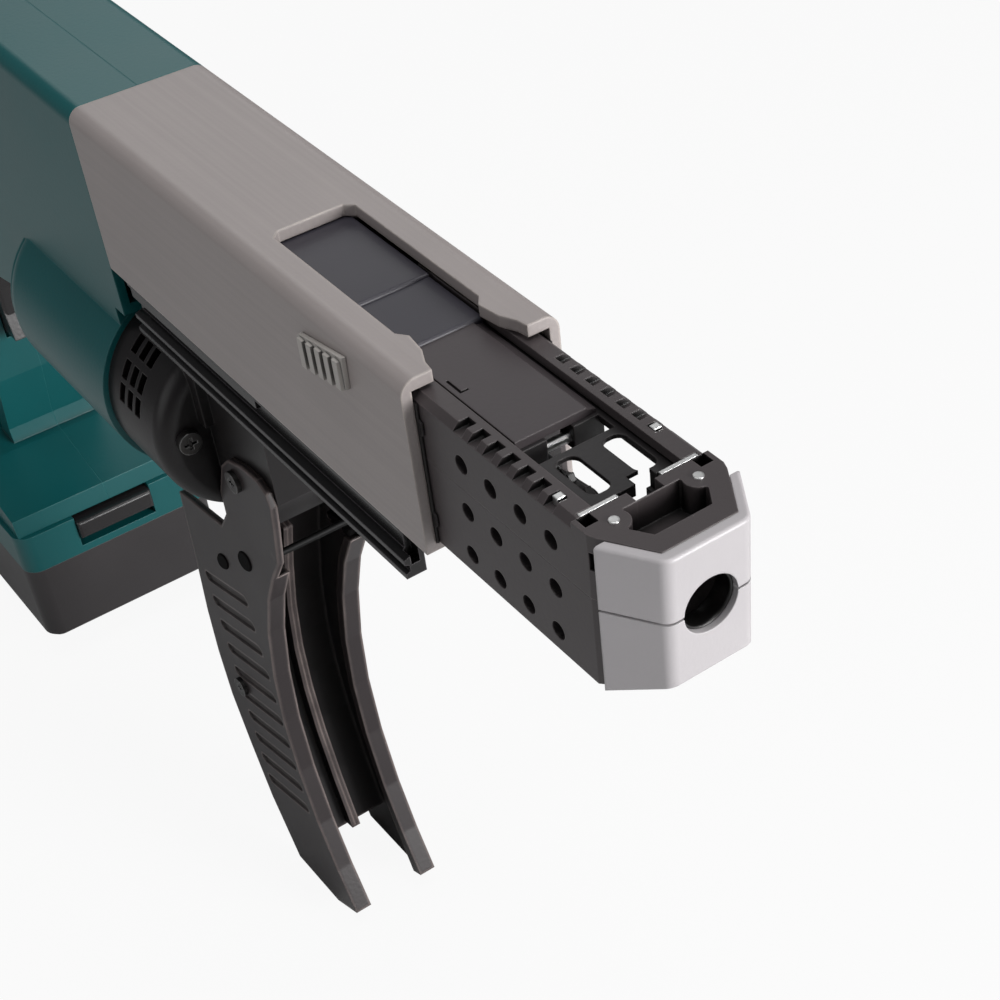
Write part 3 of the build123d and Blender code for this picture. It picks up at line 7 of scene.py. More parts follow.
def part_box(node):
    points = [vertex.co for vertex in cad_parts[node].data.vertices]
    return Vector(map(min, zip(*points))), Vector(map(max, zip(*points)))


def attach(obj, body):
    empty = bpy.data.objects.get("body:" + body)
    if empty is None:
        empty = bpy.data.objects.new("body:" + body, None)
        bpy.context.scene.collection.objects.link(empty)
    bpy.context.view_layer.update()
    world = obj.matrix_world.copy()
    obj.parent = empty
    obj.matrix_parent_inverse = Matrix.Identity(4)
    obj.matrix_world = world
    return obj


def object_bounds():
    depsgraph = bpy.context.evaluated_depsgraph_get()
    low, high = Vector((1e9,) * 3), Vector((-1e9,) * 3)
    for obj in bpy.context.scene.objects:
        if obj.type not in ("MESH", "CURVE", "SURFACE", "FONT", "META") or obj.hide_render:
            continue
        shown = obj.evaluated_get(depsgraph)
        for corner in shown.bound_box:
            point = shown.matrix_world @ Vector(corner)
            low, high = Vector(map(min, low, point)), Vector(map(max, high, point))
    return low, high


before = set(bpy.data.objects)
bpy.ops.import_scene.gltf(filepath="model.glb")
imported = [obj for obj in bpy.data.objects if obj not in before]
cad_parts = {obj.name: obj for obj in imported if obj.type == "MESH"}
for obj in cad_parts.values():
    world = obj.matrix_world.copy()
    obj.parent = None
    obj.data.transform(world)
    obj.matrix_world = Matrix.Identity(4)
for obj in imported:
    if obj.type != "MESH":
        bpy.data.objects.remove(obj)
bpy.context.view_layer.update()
scene = bpy.context.scene

# Camera
# A studio view from above, in front and to the right of the nose,
# with the nose near the right side and the motor cover low on the left.
lens = bpy.data.cameras.new("studio_camera")
lens.sensor_width = 36
lens.lens = 65.6
lens.shift_x = -0.151
lens.shift_y = 0.207
lens.clip_start, lens.clip_end = 0.01, 20
camera = bpy.data.objects.new("studio_camera", lens)
scene.collection.objects.link(camera)
camera.matrix_world = Matrix(
    (
        (0.61472, -0.54162, 0.57336, 0.1951),
        (0.78760, 0.46063, -0.40924, -0.1543),
        (-0.04246, 0.70320, 0.70977, 0.2244),
        (0, 0, 0, 1),
    )
)
scene.camera = camera


# Floor and lamps
# A pale table top under the battery and four large soft lamps:
# one over the nose, one low on the right, one in front and one behind.
def tone(red, green, blue):
    """A colour as it shows on a screen, turned into light values."""
    parts = []
    for level in (red, green, blue):
        share = level / 255
        parts.append(share / 12.92 if share <= 0.04045 else ((share + 0.055) / 1.055) ** 2.4)
    return (*parts, 1.0)


floor_mesh = bpy.data.meshes.new("table_top")
floor_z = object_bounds()[0][2] - 0.0003
half = 6
floor_corners = [(-half, -half), (half, -half), (half, half), (-half, half)]
floor_mesh.from_pydata([(x, y, floor_z) for x, y in floor_corners], [], [(0, 1, 2, 3)])
table_top = bpy.data.objects.new("table_top", floor_mesh)
scene.collection.objects.link(table_top)
paper = bpy.data.materials.new("pale_paper")
paper.use_nodes = True
nodes, links = paper.node_tree.nodes, paper.node_tree.links
nodes.clear()
paper_out = nodes.new("ShaderNodeOutputMaterial")
paper_mix = nodes.new("ShaderNodeMixShader")
paper_cloth = nodes.new("ShaderNodeBsdfPrincipled")
paper_cloth.inputs["Base Color"].default_value = (0.6, 0.6, 0.6, 1)
paper_cloth.inputs["Roughness"].default_value = 0.9
paper_glow = nodes.new("ShaderNodeEmission")
paper_glow.inputs["Color"].default_value = (1, 1, 1, 1)
paper_ray = nodes.new("ShaderNodeLightPath")
paper_share = nodes.new("ShaderNodeMath")
paper_share.operation = "MULTIPLY"
paper_share.inputs[1].default_value = 0.92
links.new(paper_ray.outputs["Is Camera Ray"], paper_share.inputs[0])
links.new(paper_share.outputs[0], paper_mix.inputs["Fac"])
links.new(paper_cloth.outputs[0], paper_mix.inputs[1])
links.new(paper_glow.outputs[0], paper_mix.inputs[2])
links.new(paper_mix.outputs[0], paper_out.inputs["Surface"])
table_top.data.materials.append(paper)

room = bpy.data.worlds.new("studio_room")
scene.world = room
room.use_nodes = True
nodes, links = room.node_tree.nodes, room.node_tree.links
nodes.clear()
room_out = nodes.new("ShaderNodeOutputWorld")
room_light = nodes.new("ShaderNodeBackground")
room_light.inputs["Color"].default_value = (0.95, 0.97, 1.0, 1)
room_light.inputs["Strength"].default_value = 0.15
room_white = nodes.new("ShaderNodeBackground")
room_white.inputs["Strength"].default_value = 1.0
room_mix = nodes.new("ShaderNodeMixShader")
room_ray = nodes.new("ShaderNodeLightPath")
links.new(room_ray.outputs["Is Camera Ray"], room_mix.inputs["Fac"])
links.new(room_light.outputs[0], room_mix.inputs[1])
links.new(room_white.outputs[0], room_mix.inputs[2])
links.new(room_mix.outputs[0], room_out.inputs["Surface"])
for name, place, aim, size, power in (
    ("lamp_over", (0.1, 0.1, 1.2), (-0.12, 0, -0.02), 0.9, 8.0),
    ("lamp_right", (-0.2, -1.1, 0.3), (-0.12, 0, -0.05), 1.0, 2.35),
    ("lamp_front", (1.1, 0.6, 0.2), (-0.06, 0, -0.02), 0.7, 21.5),
    ("lamp_back", (-1.2, 0.5, 0.7), (-0.15, 0, -0.05), 0.8, 1.5),
):
    lamp = bpy.data.lights.new(name, "AREA")
    lamp.shape = "DISK"
    lamp.size = size
    lamp.energy = power
    lamp_object = bpy.data.objects.new(name, lamp)
    scene.collection.objects.link(lamp_object)
    lamp_object.location = place
    direction = Vector(aim) - Vector(place)
    lamp_object.rotation_mode = "QUATERNION"
    lamp_object.rotation_quaternion = direction.to_track_quat("-Z", "Y")
scene.view_settings.view_transform = "Standard"


# Nose shells
# Two thin mouldings of pale satin plastic clipped round the nose of the stopper.
# Their edges are rubbed lighter, the moulded skin has a very fine grain,
# and deep corners are darkened with painted shade.
def new_group(name, inputs, outputs):
    """A shader group with named colour, value and normal sockets."""
    kinds = {"colour": "NodeSocketColor", "value": "NodeSocketFloat", "normal": "NodeSocketVector"}
    group = bpy.data.node_groups.new(name, "ShaderNodeTree")
    for label, kind in inputs:
        group.interface.new_socket(label, in_out="INPUT", socket_type=kinds[kind])
    for label, kind in outputs:
        group.interface.new_socket(label, in_out="OUTPUT", socket_type=kinds[kind])
    return group, group.nodes.new("NodeGroupInput"), group.nodes.new("NodeGroupOutput")


# Rubbed edges and painted highlight: a lighter colour is mixed in along sharp edges. It is partly wear and, on
# the dark plastics, the rim highlight that light puts on their edges.
edge_wear_and_highlight, wear_and_highlight_in, wear_and_highlight_out = new_group(
    "edge_wear_and_highlight",
    [
        ("Colour", "colour"),
        ("Worn And Highlight Colour", "colour"),
        ("Amount", "value"),
        ("Patch Scale", "value"),
        ("Edge Width", "value"),
    ],
    [("Colour", "colour"), ("Mask", "value"), ("Normal", "normal")],
)
nodes, links = edge_wear_and_highlight.nodes, edge_wear_and_highlight.links
round_edge = nodes.new("ShaderNodeBevel")
round_edge.samples = 4
links.new(wear_and_highlight_in.outputs["Edge Width"], round_edge.inputs["Radius"])
flat_face = nodes.new("ShaderNodeNewGeometry")
facing = nodes.new("ShaderNodeVectorMath")
facing.operation = "DOT_PRODUCT"
links.new(round_edge.outputs["Normal"], facing.inputs[0])
links.new(flat_face.outputs["Normal"], facing.inputs[1])
turned = nodes.new("ShaderNodeMapRange")
turned.inputs["From Min"].default_value = 0.995
turned.inputs["From Max"].default_value = 0.86
links.new(facing.outputs["Value"], turned.inputs["Value"])
place = nodes.new("ShaderNodeTexCoord")
patches = nodes.new("ShaderNodeTexNoise")
patches.inputs["Detail"].default_value = 4
links.new(place.outputs["Object"], patches.inputs["Vector"])
links.new(wear_and_highlight_in.outputs["Patch Scale"], patches.inputs["Scale"])
patchy = nodes.new("ShaderNodeMapRange")
patchy.inputs["From Min"].default_value = 0.3
patchy.inputs["From Max"].default_value = 0.65
patchy.inputs["To Min"].default_value = 0.45
links.new(patches.outputs["Fac"], patchy.inputs["Value"])
worn_and_lit = nodes.new("ShaderNodeMath")
worn_and_lit.operation = "MULTIPLY"
links.new(turned.outputs["Result"], worn_and_lit.inputs[0])
links.new(patchy.outputs["Result"], worn_and_lit.inputs[1])
scaled = nodes.new("ShaderNodeMath")
scaled.operation = "MULTIPLY"
links.new(worn_and_lit.outputs[0], scaled.inputs[0])
links.new(wear_and_highlight_in.outputs["Amount"], scaled.inputs[1])
rubbed_and_lit = nodes.new("ShaderNodeMix")
rubbed_and_lit.data_type = "RGBA"
links.new(scaled.outputs[0], rubbed_and_lit.inputs["Factor"])
links.new(wear_and_highlight_in.outputs["Colour"], rubbed_and_lit.inputs["A"])
links.new(wear_and_highlight_in.outputs["Worn And Highlight Colour"], rubbed_and_lit.inputs["B"])
links.new(rubbed_and_lit.outputs["Result"], wear_and_highlight_out.inputs["Colour"])
links.new(scaled.outputs[0], wear_and_highlight_out.inputs["Mask"])
links.new(round_edge.outputs["Normal"], wear_and_highlight_out.inputs["Normal"])

moulded_skin, skin_in, skin_out = new_group(
    "moulded_skin",
    [
        ("Colour", "colour"),
        ("Grain Scale", "value"),
        ("Roughness", "value"),
        ("Cloud", "value"),
        ("Streaks", "value"),
    ],
    [("Colour", "colour"), ("Roughness", "value"), ("Height", "value")],
)
nodes, links = moulded_skin.nodes, moulded_skin.links
place = nodes.new("ShaderNodeTexCoord")
fine = nodes.new("ShaderNodeTexNoise")
fine.inputs["Detail"].default_value = 3
links.new(place.outputs["Object"], fine.inputs["Vector"])
links.new(skin_in.outputs["Grain Scale"], fine.inputs["Scale"])
links.new(fine.outputs["Fac"], skin_out.inputs["Height"])
broad = nodes.new("ShaderNodeTexNoise")
broad.inputs["Scale"].default_value = 28
broad.inputs["Detail"].default_value = 5
links.new(place.outputs["Object"], broad.inputs["Vector"])
level = nodes.new("ShaderNodeMath")
level.operation = "SUBTRACT"
level.inputs[1].default_value = 0.5
links.new(broad.outputs["Fac"], level.inputs[0])
cloud = nodes.new("ShaderNodeMath")
cloud.operation = "MULTIPLY_ADD"
cloud.inputs[2].default_value = 1.0
links.new(level.outputs[0], cloud.inputs[0])
links.new(skin_in.outputs["Cloud"], cloud.inputs[1])
lengthwise = nodes.new("ShaderNodeMapping")
lengthwise.inputs["Scale"].default_value = (6, 900, 900)
drawn = nodes.new("ShaderNodeTexNoise")
drawn.inputs["Scale"].default_value = 1.0
drawn.inputs["Detail"].default_value = 3
links.new(place.outputs["Object"], lengthwise.inputs["Vector"])
links.new(lengthwise.outputs["Vector"], drawn.inputs["Vector"])
drawn_level = nodes.new("ShaderNodeMath")
drawn_level.operation = "SUBTRACT"
drawn_level.inputs[1].default_value = 0.5
links.new(drawn.outputs["Fac"], drawn_level.inputs[0])
streaked = nodes.new("ShaderNodeMath")
streaked.operation = "MULTIPLY_ADD"
links.new(drawn_level.outputs[0], streaked.inputs[0])
links.new(skin_in.outputs["Streaks"], streaked.inputs[1])
links.new(cloud.outputs[0], streaked.inputs[2])
tinted = nodes.new("ShaderNodeHueSaturation")
links.new(skin_in.outputs["Colour"], tinted.inputs["Color"])
links.new(streaked.outputs[0], tinted.inputs["Value"])
links.new(tinted.outputs["Color"], skin_out.inputs["Colour"])
smooth = nodes.new("ShaderNodeMath")
smooth.operation = "MULTIPLY"
links.new(skin_in.outputs["Roughness"], smooth.inputs[0])
links.new(cloud.outputs[0], smooth.inputs[1])
links.new(smooth.outputs[0], skin_out.inputs["Roughness"])


# Painted shade: where ambient occlusion on the part itself finds a hollow or corner, the colour is mixed
# towards near-black.
recess_painted_shade, shade_in, shade_out = new_group(
    "recess_painted_shade",
    [("Colour", "colour"), ("Reach", "value"), ("Amount", "value")],
    [("Colour", "colour")],
)
nodes, links = recess_painted_shade.nodes, recess_painted_shade.links
openness = nodes.new("ShaderNodeAmbientOcclusion")
openness.samples = 8
openness.only_local = True
links.new(shade_in.outputs["Reach"], openness.inputs["Distance"])
closed = nodes.new("ShaderNodeMapRange")
closed.inputs["From Min"].default_value = 0.8
closed.inputs["From Max"].default_value = 0.42
links.new(openness.outputs["AO"], closed.inputs["Value"])
shade_amount = nodes.new("ShaderNodeMath")
shade_amount.operation = "MULTIPLY"
links.new(closed.outputs["Result"], shade_amount.inputs[0])
links.new(shade_in.outputs["Amount"], shade_amount.inputs[1])
darkened = nodes.new("ShaderNodeMix")
darkened.data_type = "RGBA"
# The near-black colour of the painted shade.
darkened.inputs["B"].default_value = tone(8, 7, 7)
links.new(shade_amount.outputs[0], darkened.inputs["Factor"])
links.new(shade_in.outputs["Colour"], darkened.inputs["A"])
links.new(darkened.outputs["Result"], shade_out.inputs["Colour"])


def moulded_plastic(
    name,
    colour,
    worn_and_highlight_colour,
    roughness,
    wear_and_highlight=0.6,
    grain=900,
    depth=0.35,
    cloud=0.35,
    coat=0.0,
    streaks=0.0,
    edge=0.00045,
    reach=0.004,
    painted_shade=0.85,
    specular=0.5,
):
    """Moulded plastic: grain on the skin, slow changes of tone, rubbed edges that are partly a painted
    highlight, painted shade in recesses.
    """
    grain_height = 0.00008
    made = bpy.data.materials.new(name)
    made.use_nodes = True
    tree = made.node_tree
    shader = tree.nodes["Principled BSDF"]
    skin = tree.nodes.new("ShaderNodeGroup")
    skin.node_tree = moulded_skin
    skin.inputs["Colour"].default_value = colour
    skin.inputs["Grain Scale"].default_value = grain
    skin.inputs["Roughness"].default_value = roughness
    skin.inputs["Cloud"].default_value = cloud
    skin.inputs["Streaks"].default_value = streaks
    # Sharp edges get the lighter colour, partly wear and partly a painted highlight.
    edges = tree.nodes.new("ShaderNodeGroup")
    edges.node_tree = edge_wear_and_highlight
    edges.inputs["Worn And Highlight Colour"].default_value = worn_and_highlight_colour
    edges.inputs["Amount"].default_value = wear_and_highlight
    edges.inputs["Patch Scale"].default_value = 90
    edges.inputs["Edge Width"].default_value = edge
    # Hollows and corners get painted shade.
    recess_shade = tree.nodes.new("ShaderNodeGroup")
    recess_shade.node_tree = recess_painted_shade
    recess_shade.inputs["Reach"].default_value = reach
    recess_shade.inputs["Amount"].default_value = painted_shade
    bump = tree.nodes.new("ShaderNodeBump")
    bump.inputs["Strength"].default_value = depth
    bump.inputs["Distance"].default_value = grain_height
    tree.links.new(skin.outputs["Colour"], edges.inputs["Colour"])
    tree.links.new(edges.outputs["Colour"], recess_shade.inputs["Colour"])
    tree.links.new(recess_shade.outputs["Colour"], shader.inputs["Base Color"])
    tree.links.new(skin.outputs["Roughness"], shader.inputs["Roughness"])
    tree.links.new(skin.outputs["Height"], bump.inputs["Height"])
    tree.links.new(edges.outputs["Normal"], bump.inputs["Normal"])
    tree.links.new(bump.outputs["Normal"], shader.inputs["Normal"])
    shader.inputs["Coat Weight"].default_value = coat
    shader.inputs["Coat Roughness"].default_value = 0.08
    shader.inputs["Specular IOR Level"].default_value = specular
    return made


def dress(material, *names):
    """Gives these CAD pieces one finish."""
    for name in names:
        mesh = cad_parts[name].data
        mesh.materials.clear()
        mesh.materials.append(material)


pale_shell = moulded_plastic(
    "pale_shell", tone(180, 176, 178), tone(222, 220, 220), 0.32, cloud=0.15, painted_shade=0.3
)
dress(pale_shell, "nose_shell_upper", "nose_shell_lower")

# Nose bush
# A black wear ring pressed into the nose hole from behind, with a rounded lip.
# It is turned from a profile and keeps the screw head off the pale shells.
bush_plastic = moulded_plastic("bush_plastic", tone(16, 15, 15), tone(90, 86, 86), 0.3, wear_and_highlight=0.5)
bush_profile = [
    (-1.5, 6.36),
    (-1.3, 6.2),
    (-1.3, 5.95),
    (-1.55, 5.75),
    (-2.2, 5.68),
    (-5.6, 5.68),
    (-6.0, 5.9),
    (-6.0, 6.36),
]
bush_shape = bmesh.new()
bush_steps = 72
rings = []
for step in range(bush_steps):
    turn = math.tau * step / bush_steps
    rings.append(
        [
            bush_shape.verts.new(
                (x / 1000, radius * math.cos(turn) / 1000, radius * math.sin(turn) / 1000)
            )
            for x, radius in bush_profile
        ]
    )
for step in range(bush_steps):
    this_ring, next_ring = rings[step], rings[(step + 1) % bush_steps]
    for index in range(len(bush_profile)):
        after = (index + 1) % len(bush_profile)
        bush_shape.faces.new(
            (this_ring[index], this_ring[after], next_ring[after], next_ring[index])
        )
bmesh.ops.recalc_face_normals(bush_shape, faces=bush_shape.faces)
bush_mesh = bpy.data.meshes.new("nose_bush")
bush_shape.to_mesh(bush_mesh)
bush_shape.free()
bush_mesh.shade_smooth()
nose_bush = bpy.data.objects.new("nose_bush", bush_mesh)
scene.collection.objects.link(nose_bush)
bush_mesh.materials.append(bush_plastic)
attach(nose_bush, "stopper")

# Stopper base
# Glass-filled charcoal plastic in two mouldings, notched along the top
# and drilled along the sides. The skin is satin with paler edges, partly rubbed and partly a painted
# highlight, and its notches and holes are darkened with painted shade.
stopper_plastic = moulded_plastic(
    "stopper_plastic", tone(66, 60, 61), tone(122, 114, 114), 0.42, wear_and_highlight=0.75, reach=0.007, painted_shade=1.0
)
dress(stopper_plastic, "base_upper", "base_lower")


# Steel plate, pins and notch stops
# Bright steel, ground in one direction, pressed into the stopper.
def ground_steel(name, colour, roughness, along=(1, 14, 14), depth=0.25, wear_and_highlight=0.5):
    """Machined steel with fine marks that run one way."""
    made = bpy.data.materials.new(name)
    made.use_nodes = True
    tree = made.node_tree
    shader = tree.nodes["Principled BSDF"]
    place = tree.nodes.new("ShaderNodeTexCoord")
    stretch = tree.nodes.new("ShaderNodeMapping")
    stretch.inputs["Scale"].default_value = along
    marks = tree.nodes.new("ShaderNodeTexNoise")
    marks.inputs["Scale"].default_value = 260
    marks.inputs["Detail"].default_value = 5
    shine = tree.nodes.new("ShaderNodeMapRange")
    shine.inputs["To Min"].default_value = roughness * 0.75
    shine.inputs["To Max"].default_value = roughness * 1.3
    edges = tree.nodes.new("ShaderNodeGroup")
    edges.node_tree = edge_wear_and_highlight
    edges.inputs["Colour"].default_value = colour
    edges.inputs["Worn And Highlight Colour"].default_value = (0.85, 0.85, 0.85, 1)
    edges.inputs["Amount"].default_value = wear_and_highlight
    edges.inputs["Patch Scale"].default_value = 120
    edges.inputs["Edge Width"].default_value = 0.00045
    bump = tree.nodes.new("ShaderNodeBump")
    bump.inputs["Strength"].default_value = depth
    bump.inputs["Distance"].default_value = 0.00005
    tree.links.new(place.outputs["Object"], stretch.inputs["Vector"])
    tree.links.new(stretch.outputs["Vector"], marks.inputs["Vector"])
    tree.links.new(marks.outputs["Fac"], shine.inputs["Value"])
    tree.links.new(shine.outputs["Result"], shader.inputs["Roughness"])
    tree.links.new(marks.outputs["Fac"], bump.inputs["Height"])
    tree.links.new(edges.outputs["Normal"], bump.inputs["Normal"])
    tree.links.new(bump.outputs["Normal"], shader.inputs["Normal"])
    tree.links.new(edges.outputs["Colour"], shader.inputs["Base Color"])
    shader.inputs["Metallic"].default_value = 1.0
    return made


bright_steel = ground_steel("bright_steel", (0.8, 0.8, 0.79, 1), 0.3, depth=0.05)
blackened_steel = ground_steel("blackened_steel", (0.075, 0.072, 0.07, 1), 0.4, depth=0.1)
dress(bright_steel, "steel_plate", "nose_pins", "notch_stops")

# Feeder box and deck
# Dark satin plastic box that carries the bit and the strip wheels,
# closed on top by a deck plate with bevelled edges.
# The feeder box's hollows are darkened with painted shade over a wider reach.
feeder_plastic = moulded_plastic(
    "feeder_plastic", tone(34, 31, 32), tone(86, 80, 80), 0.42, reach=0.008
)
deck_plastic = moulded_plastic(
    "deck_plastic", tone(66, 60, 62), tone(112, 104, 105), 0.44, cloud=0.3
)
dress(feeder_plastic, "feeder_box")
dress(deck_plastic, "deck_plate")

# Window panels
# Two bluish black covers behind the deck, moulded with a smooth even skin
# and laid on the feeder box, which carries them back under the casing.
panel_plastic = moulded_plastic(
    "panel_plastic", tone(50, 48, 56), tone(92, 90, 100), 0.42, depth=0.1, coat=0.05
)
dress(panel_plastic, "panel_front", "panel_rear")

# Strip wheels, ratchet and pins
# Nylon toothed wheels pressed on a steel shaft, with a hardened ratchet wheel
# beside them and a pawl that turns on a pin in the feeder box.
nylon = moulded_plastic("nylon", tone(58, 56, 56), tone(96, 92, 92), 0.4)
dress(nylon, "sprocket")
dress(bright_steel, "sprocket_shaft", "feeder_pins")
dress(blackened_steel, "ratchet_wheel", "pawl")

# Casing
# Warm grey moulding with a satin skin and fine lengthwise marks, fixed to the
# housing. Its edges are rubbed pale, and a ribbed lever slides on its side.
casing_plastic = moulded_plastic(
    "casing_plastic",
    tone(155, 147, 145),
    tone(216, 206, 198),
    0.4,
    wear_and_highlight=0.85,
    cloud=0.2,
    streaks=0.22,
    edge=0.0008,
    painted_shade=0.6,
)
lever_plastic = moulded_plastic(
    "lever_plastic", tone(176, 171, 166), tone(206, 202, 198), 0.4, cloud=0.15
)
dress(casing_plastic, "casing")
dress(lever_plastic, "release_lever")


# Casing liner
# A thin black strip in the mouth of the casing on each side, between the casing and the stopper base.
# Its black face fills that gap as a painted shade. Its front edge has two small catches.
def prism(name, outline, low_y, high_y, rounding):
    """A plate cut to an outline of (x, z) points in millimetres, with rounded edges."""
    shape = bmesh.new()
    near = [shape.verts.new((x / 1000, low_y / 1000, z / 1000)) for x, z in outline]
    far = [shape.verts.new((x / 1000, high_y / 1000, z / 1000)) for x, z in outline]
    shape.faces.new(near)
    shape.faces.new(list(reversed(far)))
    for index in range(len(outline)):
        after = (index + 1) % len(outline)
        shape.faces.new((near[after], near[index], far[index], far[after]))
    bmesh.ops.recalc_face_normals(shape, faces=shape.faces)
    bmesh.ops.bevel(shape, geom=shape.edges[:], offset=rounding / 1000, segments=2, affect="EDGES")
    mesh = bpy.data.meshes.new(name)
    shape.to_mesh(mesh)
    shape.free()
    piece = bpy.data.objects.new(name, mesh)
    scene.collection.objects.link(piece)
    return piece


liner_outline = [
    (-78, -22),
    (-71.2, -22),
    (-71.2, -17.5),
    (-70.2, -17),
    (-70.2, -14),
    (-71.2, -13.5),
    (-71.2, 6),
    (-70.2, 6.5),
    (-70.2, 9.5),
    (-71.2, 10),
    (-71.2, 13.6),
    (-78, 13.6),
]
# Near-black: the painted shade in the gap between casing and stopper base.
liner_shade_plastic = moulded_plastic(
    "liner_shade_plastic", tone(18, 16, 17), tone(80, 75, 75), 0.4, specular=0.3
)
liner_in, liner_out = 16.15, 16.65
for side, low_y, high_y in (("right", -liner_out, -liner_in), ("left", liner_in, liner_out)):
    liner = prism("casing_shade_liner_" + side, liner_outline, low_y, high_y, 0.08)
    liner.data.materials.append(liner_shade_plastic)
    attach(liner, "tool")

# Side rails
# Polished black plastic runners under the casing, grooved along the outer face,
# with light edges that are a painted highlight.
rail_plastic = moulded_plastic(
    "rail_plastic", tone(16, 14, 15), tone(120, 114, 118), 0.26, wear_and_highlight=0.7, depth=0.08, coat=0.15, specular=0.35
)
dress(rail_plastic, "side_rails")

# Return spring
# Open coil of bright spring wire round the bit, wound with a steady pitch.
# It pushes the feeder forward again after each screw.
dress(bright_steel, "return_spring")

# Gear housing, cover screws and depth control
# Charcoal plastic with a round vented cover, held by two screws from the front.
# The notched depth wheel moves a steel stop rod forward as it turns.
# The cover's vents and hollows are darkened with painted shade over a wide reach, and its paler edges are
# partly rubbed and partly a painted highlight.
cover_plastic = moulded_plastic(
    "cover_plastic", tone(24, 21, 22), tone(94, 88, 88), 0.36, wear_and_highlight=0.7, reach=0.01, specular=0.35
)
dress(cover_plastic, "gear_housing", "depth_knob")
dress(blackened_steel, "cover_screws")
dress(bright_steel, "depth_rod")

# Strip guide
# Two grooved halves of dark plastic, screwed together round the strip channel,
# with a blackened steel pin across the mouth. Their broad pale edges are a painted highlight, and the channel
# inside is darkened with painted shade.
guide_plastic = moulded_plastic(
    "guide_plastic",
    tone(42, 36, 37),
    tone(156, 142, 138),
    0.4,
    wear_and_highlight=0.9,
    edge=0.0015,
    reach=0.016,
    painted_shade=0.9,
    specular=0.4,
)
dress(guide_plastic, "guide_right", "guide_left")
dress(blackened_steel, "guide_screws")
pin_finish = ground_steel("pin_finish", (0.02, 0.02, 0.02, 1), 0.55, depth=0.05, wear_and_highlight=0.1)
dress(pin_finish, "guide_pin")

# Guide slot caps and strip catch
# Near-black matte caps over the slots in both guide plates are painted shade for the shaded hollows there, and
# a small hooked catch on the inside of the left plate leads the strip into the feeder.
# Near-black and matte: painted shade on the slot caps, and the strip catch's own black.
slot_shade_and_catch_plastic = moulded_plastic(
    "slot_shade_and_catch_plastic", tone(10, 9, 9), tone(40, 36, 36), 0.8, wear_and_highlight=0.3, specular=0.08
)
cap_points = 24
cap_lean = math.radians(40)
cap_proud, cap_sunk, cap_rounding = 0.45, 0.6, 0.3
plate_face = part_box("guide_left")[1].y * 1000
shade_cap_places = ((-209.4, -117.7, 4.6, 2.6), (-191.5, -106.0, 4.8, 3.2))
for number, (cap_x, cap_z, half_long, half_wide) in enumerate(shade_cap_places):
    oval = []
    for step in range(cap_points):
        turn = math.tau * step / cap_points
        along, across = half_long * math.cos(turn), half_wide * math.sin(turn)
        oval.append(
            (
                cap_x + along * math.cos(cap_lean) - across * math.sin(cap_lean),
                cap_z + along * math.sin(cap_lean) + across * math.cos(cap_lean),
            )
        )
    for side, low_y, high_y in (
        ("right", -plate_face - cap_proud, -plate_face + cap_sunk),
        ("left", plate_face - cap_sunk, plate_face + cap_proud),
    ):
        shade_cap = prism(f"guide_slot_shade_cap_{side}_{number + 1}", oval, low_y, high_y, cap_rounding)
        shade_cap.data.materials.append(slot_shade_and_catch_plastic)
        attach(shade_cap, "tool")
catch_low_y, catch_high_y = 10.2, 13.4
catch_outline = [
    (-188.0, -99.4),
    (-174.0, -95.6),
    (-173.2, -97.6),
    (-175.4, -98.6),
    (-176.2, -101.6),
    (-179.4, -102.2),
    (-180.2, -99.8),
    (-187.6, -101.6),
]
strip_catch = prism("strip_catch", catch_outline, catch_low_y, catch_high_y, 0.3)
strip_catch.data.materials.append(slot_shade_and_catch_plastic)
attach(strip_catch, "tool")

# Drive
# Ground steel spindle in two bearings, cut gears on steel pins,
# and a bit holder with a blackened cross point bit.
gear_steel = ground_steel("gear_steel", (0.3, 0.3, 0.3, 1), 0.3)
dress(bright_steel, "spindle", "spindle_bearings", "bit_holder", "idler_pins", "motor_bearings")
dress(gear_steel, "spindle_gear", "idler_high", "idler_low")
dress(blackened_steel, "driver_bit")

# Motor
# Stamped steel can with two magnets round a slotted armature, a plastic fan,
# copper brushes and a cast bracket that holds them in the housing.
copper = ground_steel("copper", (0.55, 0.27, 0.12, 1), 0.35)
cast_metal = ground_steel(
    "cast_metal", (0.45, 0.45, 0.46, 1), 0.5, along=(1, 1, 1), depth=0.6
)
dress(gear_steel, "armature", "motor_can")
dress(blackened_steel, "magnets")
dress(cast_metal, "motor_bracket")
dress(copper, "brushes")
dress(nylon, "fan")

# Housing and grip
# Dark teal plastic halves held by five screws, with soft black grip pads,
# a satin black trigger and switch, and a bent steel belt hook on the foot.
teal_plastic = moulded_plastic("teal_plastic", tone(6, 84, 86), tone(60, 132, 134), 0.34, cloud=0.2)
soft_rubber = moulded_plastic(
    "soft_rubber", tone(38, 37, 38), tone(62, 60, 60), 0.7, grain=500, depth=0.8
)
black_plastic = moulded_plastic("black_plastic", tone(36, 34, 35), tone(90, 86, 86), 0.26)
dress(teal_plastic, "housing_right", "housing_left")
dress(soft_rubber, "grip_pads")
dress(blackened_steel, "housing_screws", "hook_screw")
dress(black_plastic, "trigger", "switch_body", "direction_lever", "lock_button", "terminal_block")
dress(bright_steel, "belt_hook")

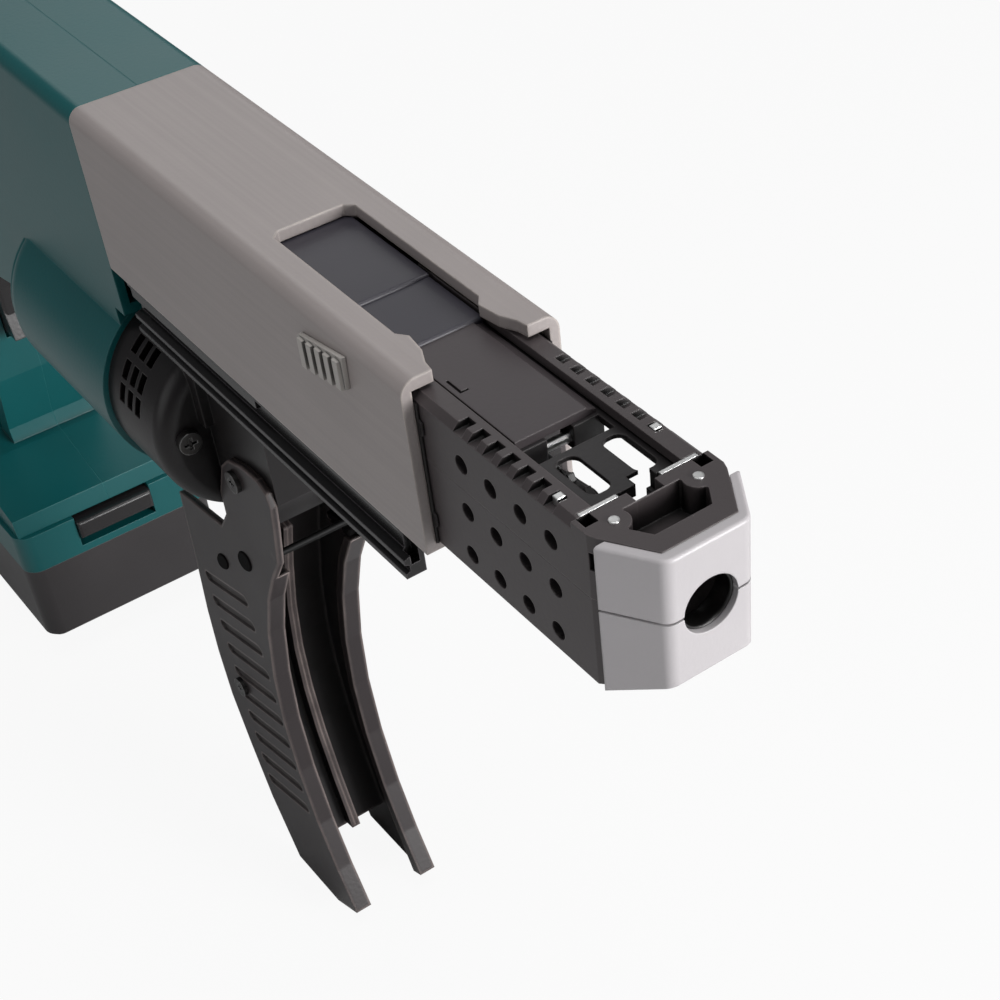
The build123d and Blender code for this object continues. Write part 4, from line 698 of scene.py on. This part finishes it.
# Grip studs
# Low rubber domes moulded in rows on both grip pads, for a firm hold.
# One dome is repeated on a slanting grid and mirrored to the other side.
stud_rows = bpy.data.node_groups.new("stud_rows", "GeometryNodeTree")
row_inputs = []
for label, kind, value in (
    ("Columns", "NodeSocketInt", 7),
    ("Rows", "NodeSocketInt", 13),
    ("Pitch", "NodeSocketFloat", 0.004),
    ("Dome Radius", "NodeSocketFloat", 0.0013),
    ("Finish", "NodeSocketMaterial", soft_rubber),
):
    row_socket = stud_rows.interface.new_socket(label, in_out="INPUT", socket_type=kind)
    row_inputs.append((row_socket.identifier, value))
stud_rows.interface.new_socket("Geometry", in_out="OUTPUT", socket_type="NodeSocketGeometry")
nodes, links = stud_rows.nodes, stud_rows.links
given = nodes.new("NodeGroupInput")
made = nodes.new("NodeGroupOutput")
grid = nodes.new("GeometryNodeMeshGrid")
for count, length in (("Columns", "Size X"), ("Rows", "Size Y")):
    steps = nodes.new("ShaderNodeMath")
    steps.operation = "SUBTRACT"
    steps.inputs[1].default_value = 1
    links.new(given.outputs[count], steps.inputs[0])
    span = nodes.new("ShaderNodeMath")
    span.operation = "MULTIPLY"
    links.new(steps.outputs[0], span.inputs[0])
    links.new(given.outputs["Pitch"], span.inputs[1])
    links.new(span.outputs[0], grid.inputs[length])
links.new(given.outputs["Columns"], grid.inputs["Vertices X"])
links.new(given.outputs["Rows"], grid.inputs["Vertices Y"])
dome = nodes.new("GeometryNodeMeshUVSphere")
dome.inputs["Segments"].default_value = 14
dome.inputs["Rings"].default_value = 8
links.new(given.outputs["Dome Radius"], dome.inputs["Radius"])
dome_flatness = 0.35
flatter = nodes.new("GeometryNodeTransform")
flatter.inputs["Scale"].default_value = (1, 1, dome_flatness)
links.new(dome.outputs["Mesh"], flatter.inputs["Geometry"])
place_domes = nodes.new("GeometryNodeInstanceOnPoints")
links.new(grid.outputs["Mesh"], place_domes.inputs["Points"])
links.new(flatter.outputs["Geometry"], place_domes.inputs["Instance"])
real = nodes.new("GeometryNodeRealizeInstances")
links.new(place_domes.outputs["Instances"], real.inputs["Geometry"])
painted = nodes.new("GeometryNodeSetMaterial")
links.new(real.outputs["Geometry"], painted.inputs["Geometry"])
links.new(given.outputs["Finish"], painted.inputs["Material"])
links.new(painted.outputs["Geometry"], made.inputs["Geometry"])
seed_mesh = bpy.data.meshes.new("stud_seed")
stud_seed = bpy.data.objects.new("stud_seed", seed_mesh)
scene.collection.objects.link(stud_seed)
rows = stud_seed.modifiers.new("rows", "NODES")
rows.node_group = stud_rows
for identifier, value in row_inputs:
    rows[identifier] = value
bpy.context.view_layer.update()
one_side = bpy.data.meshes.new_from_object(
    stud_seed.evaluated_get(bpy.context.evaluated_depsgraph_get())
)
stud_seed.modifiers.remove(rows)
pad_low, pad_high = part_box("grip_pads")
middle = (pad_low + pad_high) / 2
row_slant = 0.14
row_shift, row_drop = 0.0045, 0.0005
both_sides = bmesh.new()
for side in (-1, 1):
    face_y = pad_high.y * side
    turned_grid = Matrix(
        (
            (1, row_slant, 0, middle.x + row_shift),
            (0, 0, side, face_y),
            (0, 1, 0, middle.z - row_drop),
            (0, 0, 0, 1),
        )
    )
    copy = one_side.copy()
    copy.transform(turned_grid)
    if side > 0:
        copy.flip_normals()
    both_sides.from_mesh(copy)
    bpy.data.meshes.remove(copy)
grip_studs = bpy.data.objects.new("grip_studs", one_side)
both_sides.to_mesh(one_side)
both_sides.free()
one_side.shade_smooth()
scene.collection.objects.link(grip_studs)
bpy.data.objects.remove(stud_seed)
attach(grip_studs, "tool")

# Battery
# Teal lid on a charcoal case round five wrapped cells, moulded in two parts.
# It slides on the foot and is held by a sprung button at the front.
case_plastic = moulded_plastic("case_plastic", tone(52, 49, 50), tone(98, 92, 92), 0.4)
cell_wrap = moulded_plastic("cell_wrap", tone(40, 110, 80), tone(70, 140, 110), 0.25)
dress(teal_plastic, "battery_lid")
dress(case_plastic, "battery_case")
dress(cell_wrap, "battery_cells")
dress(black_plastic, "battery_button")
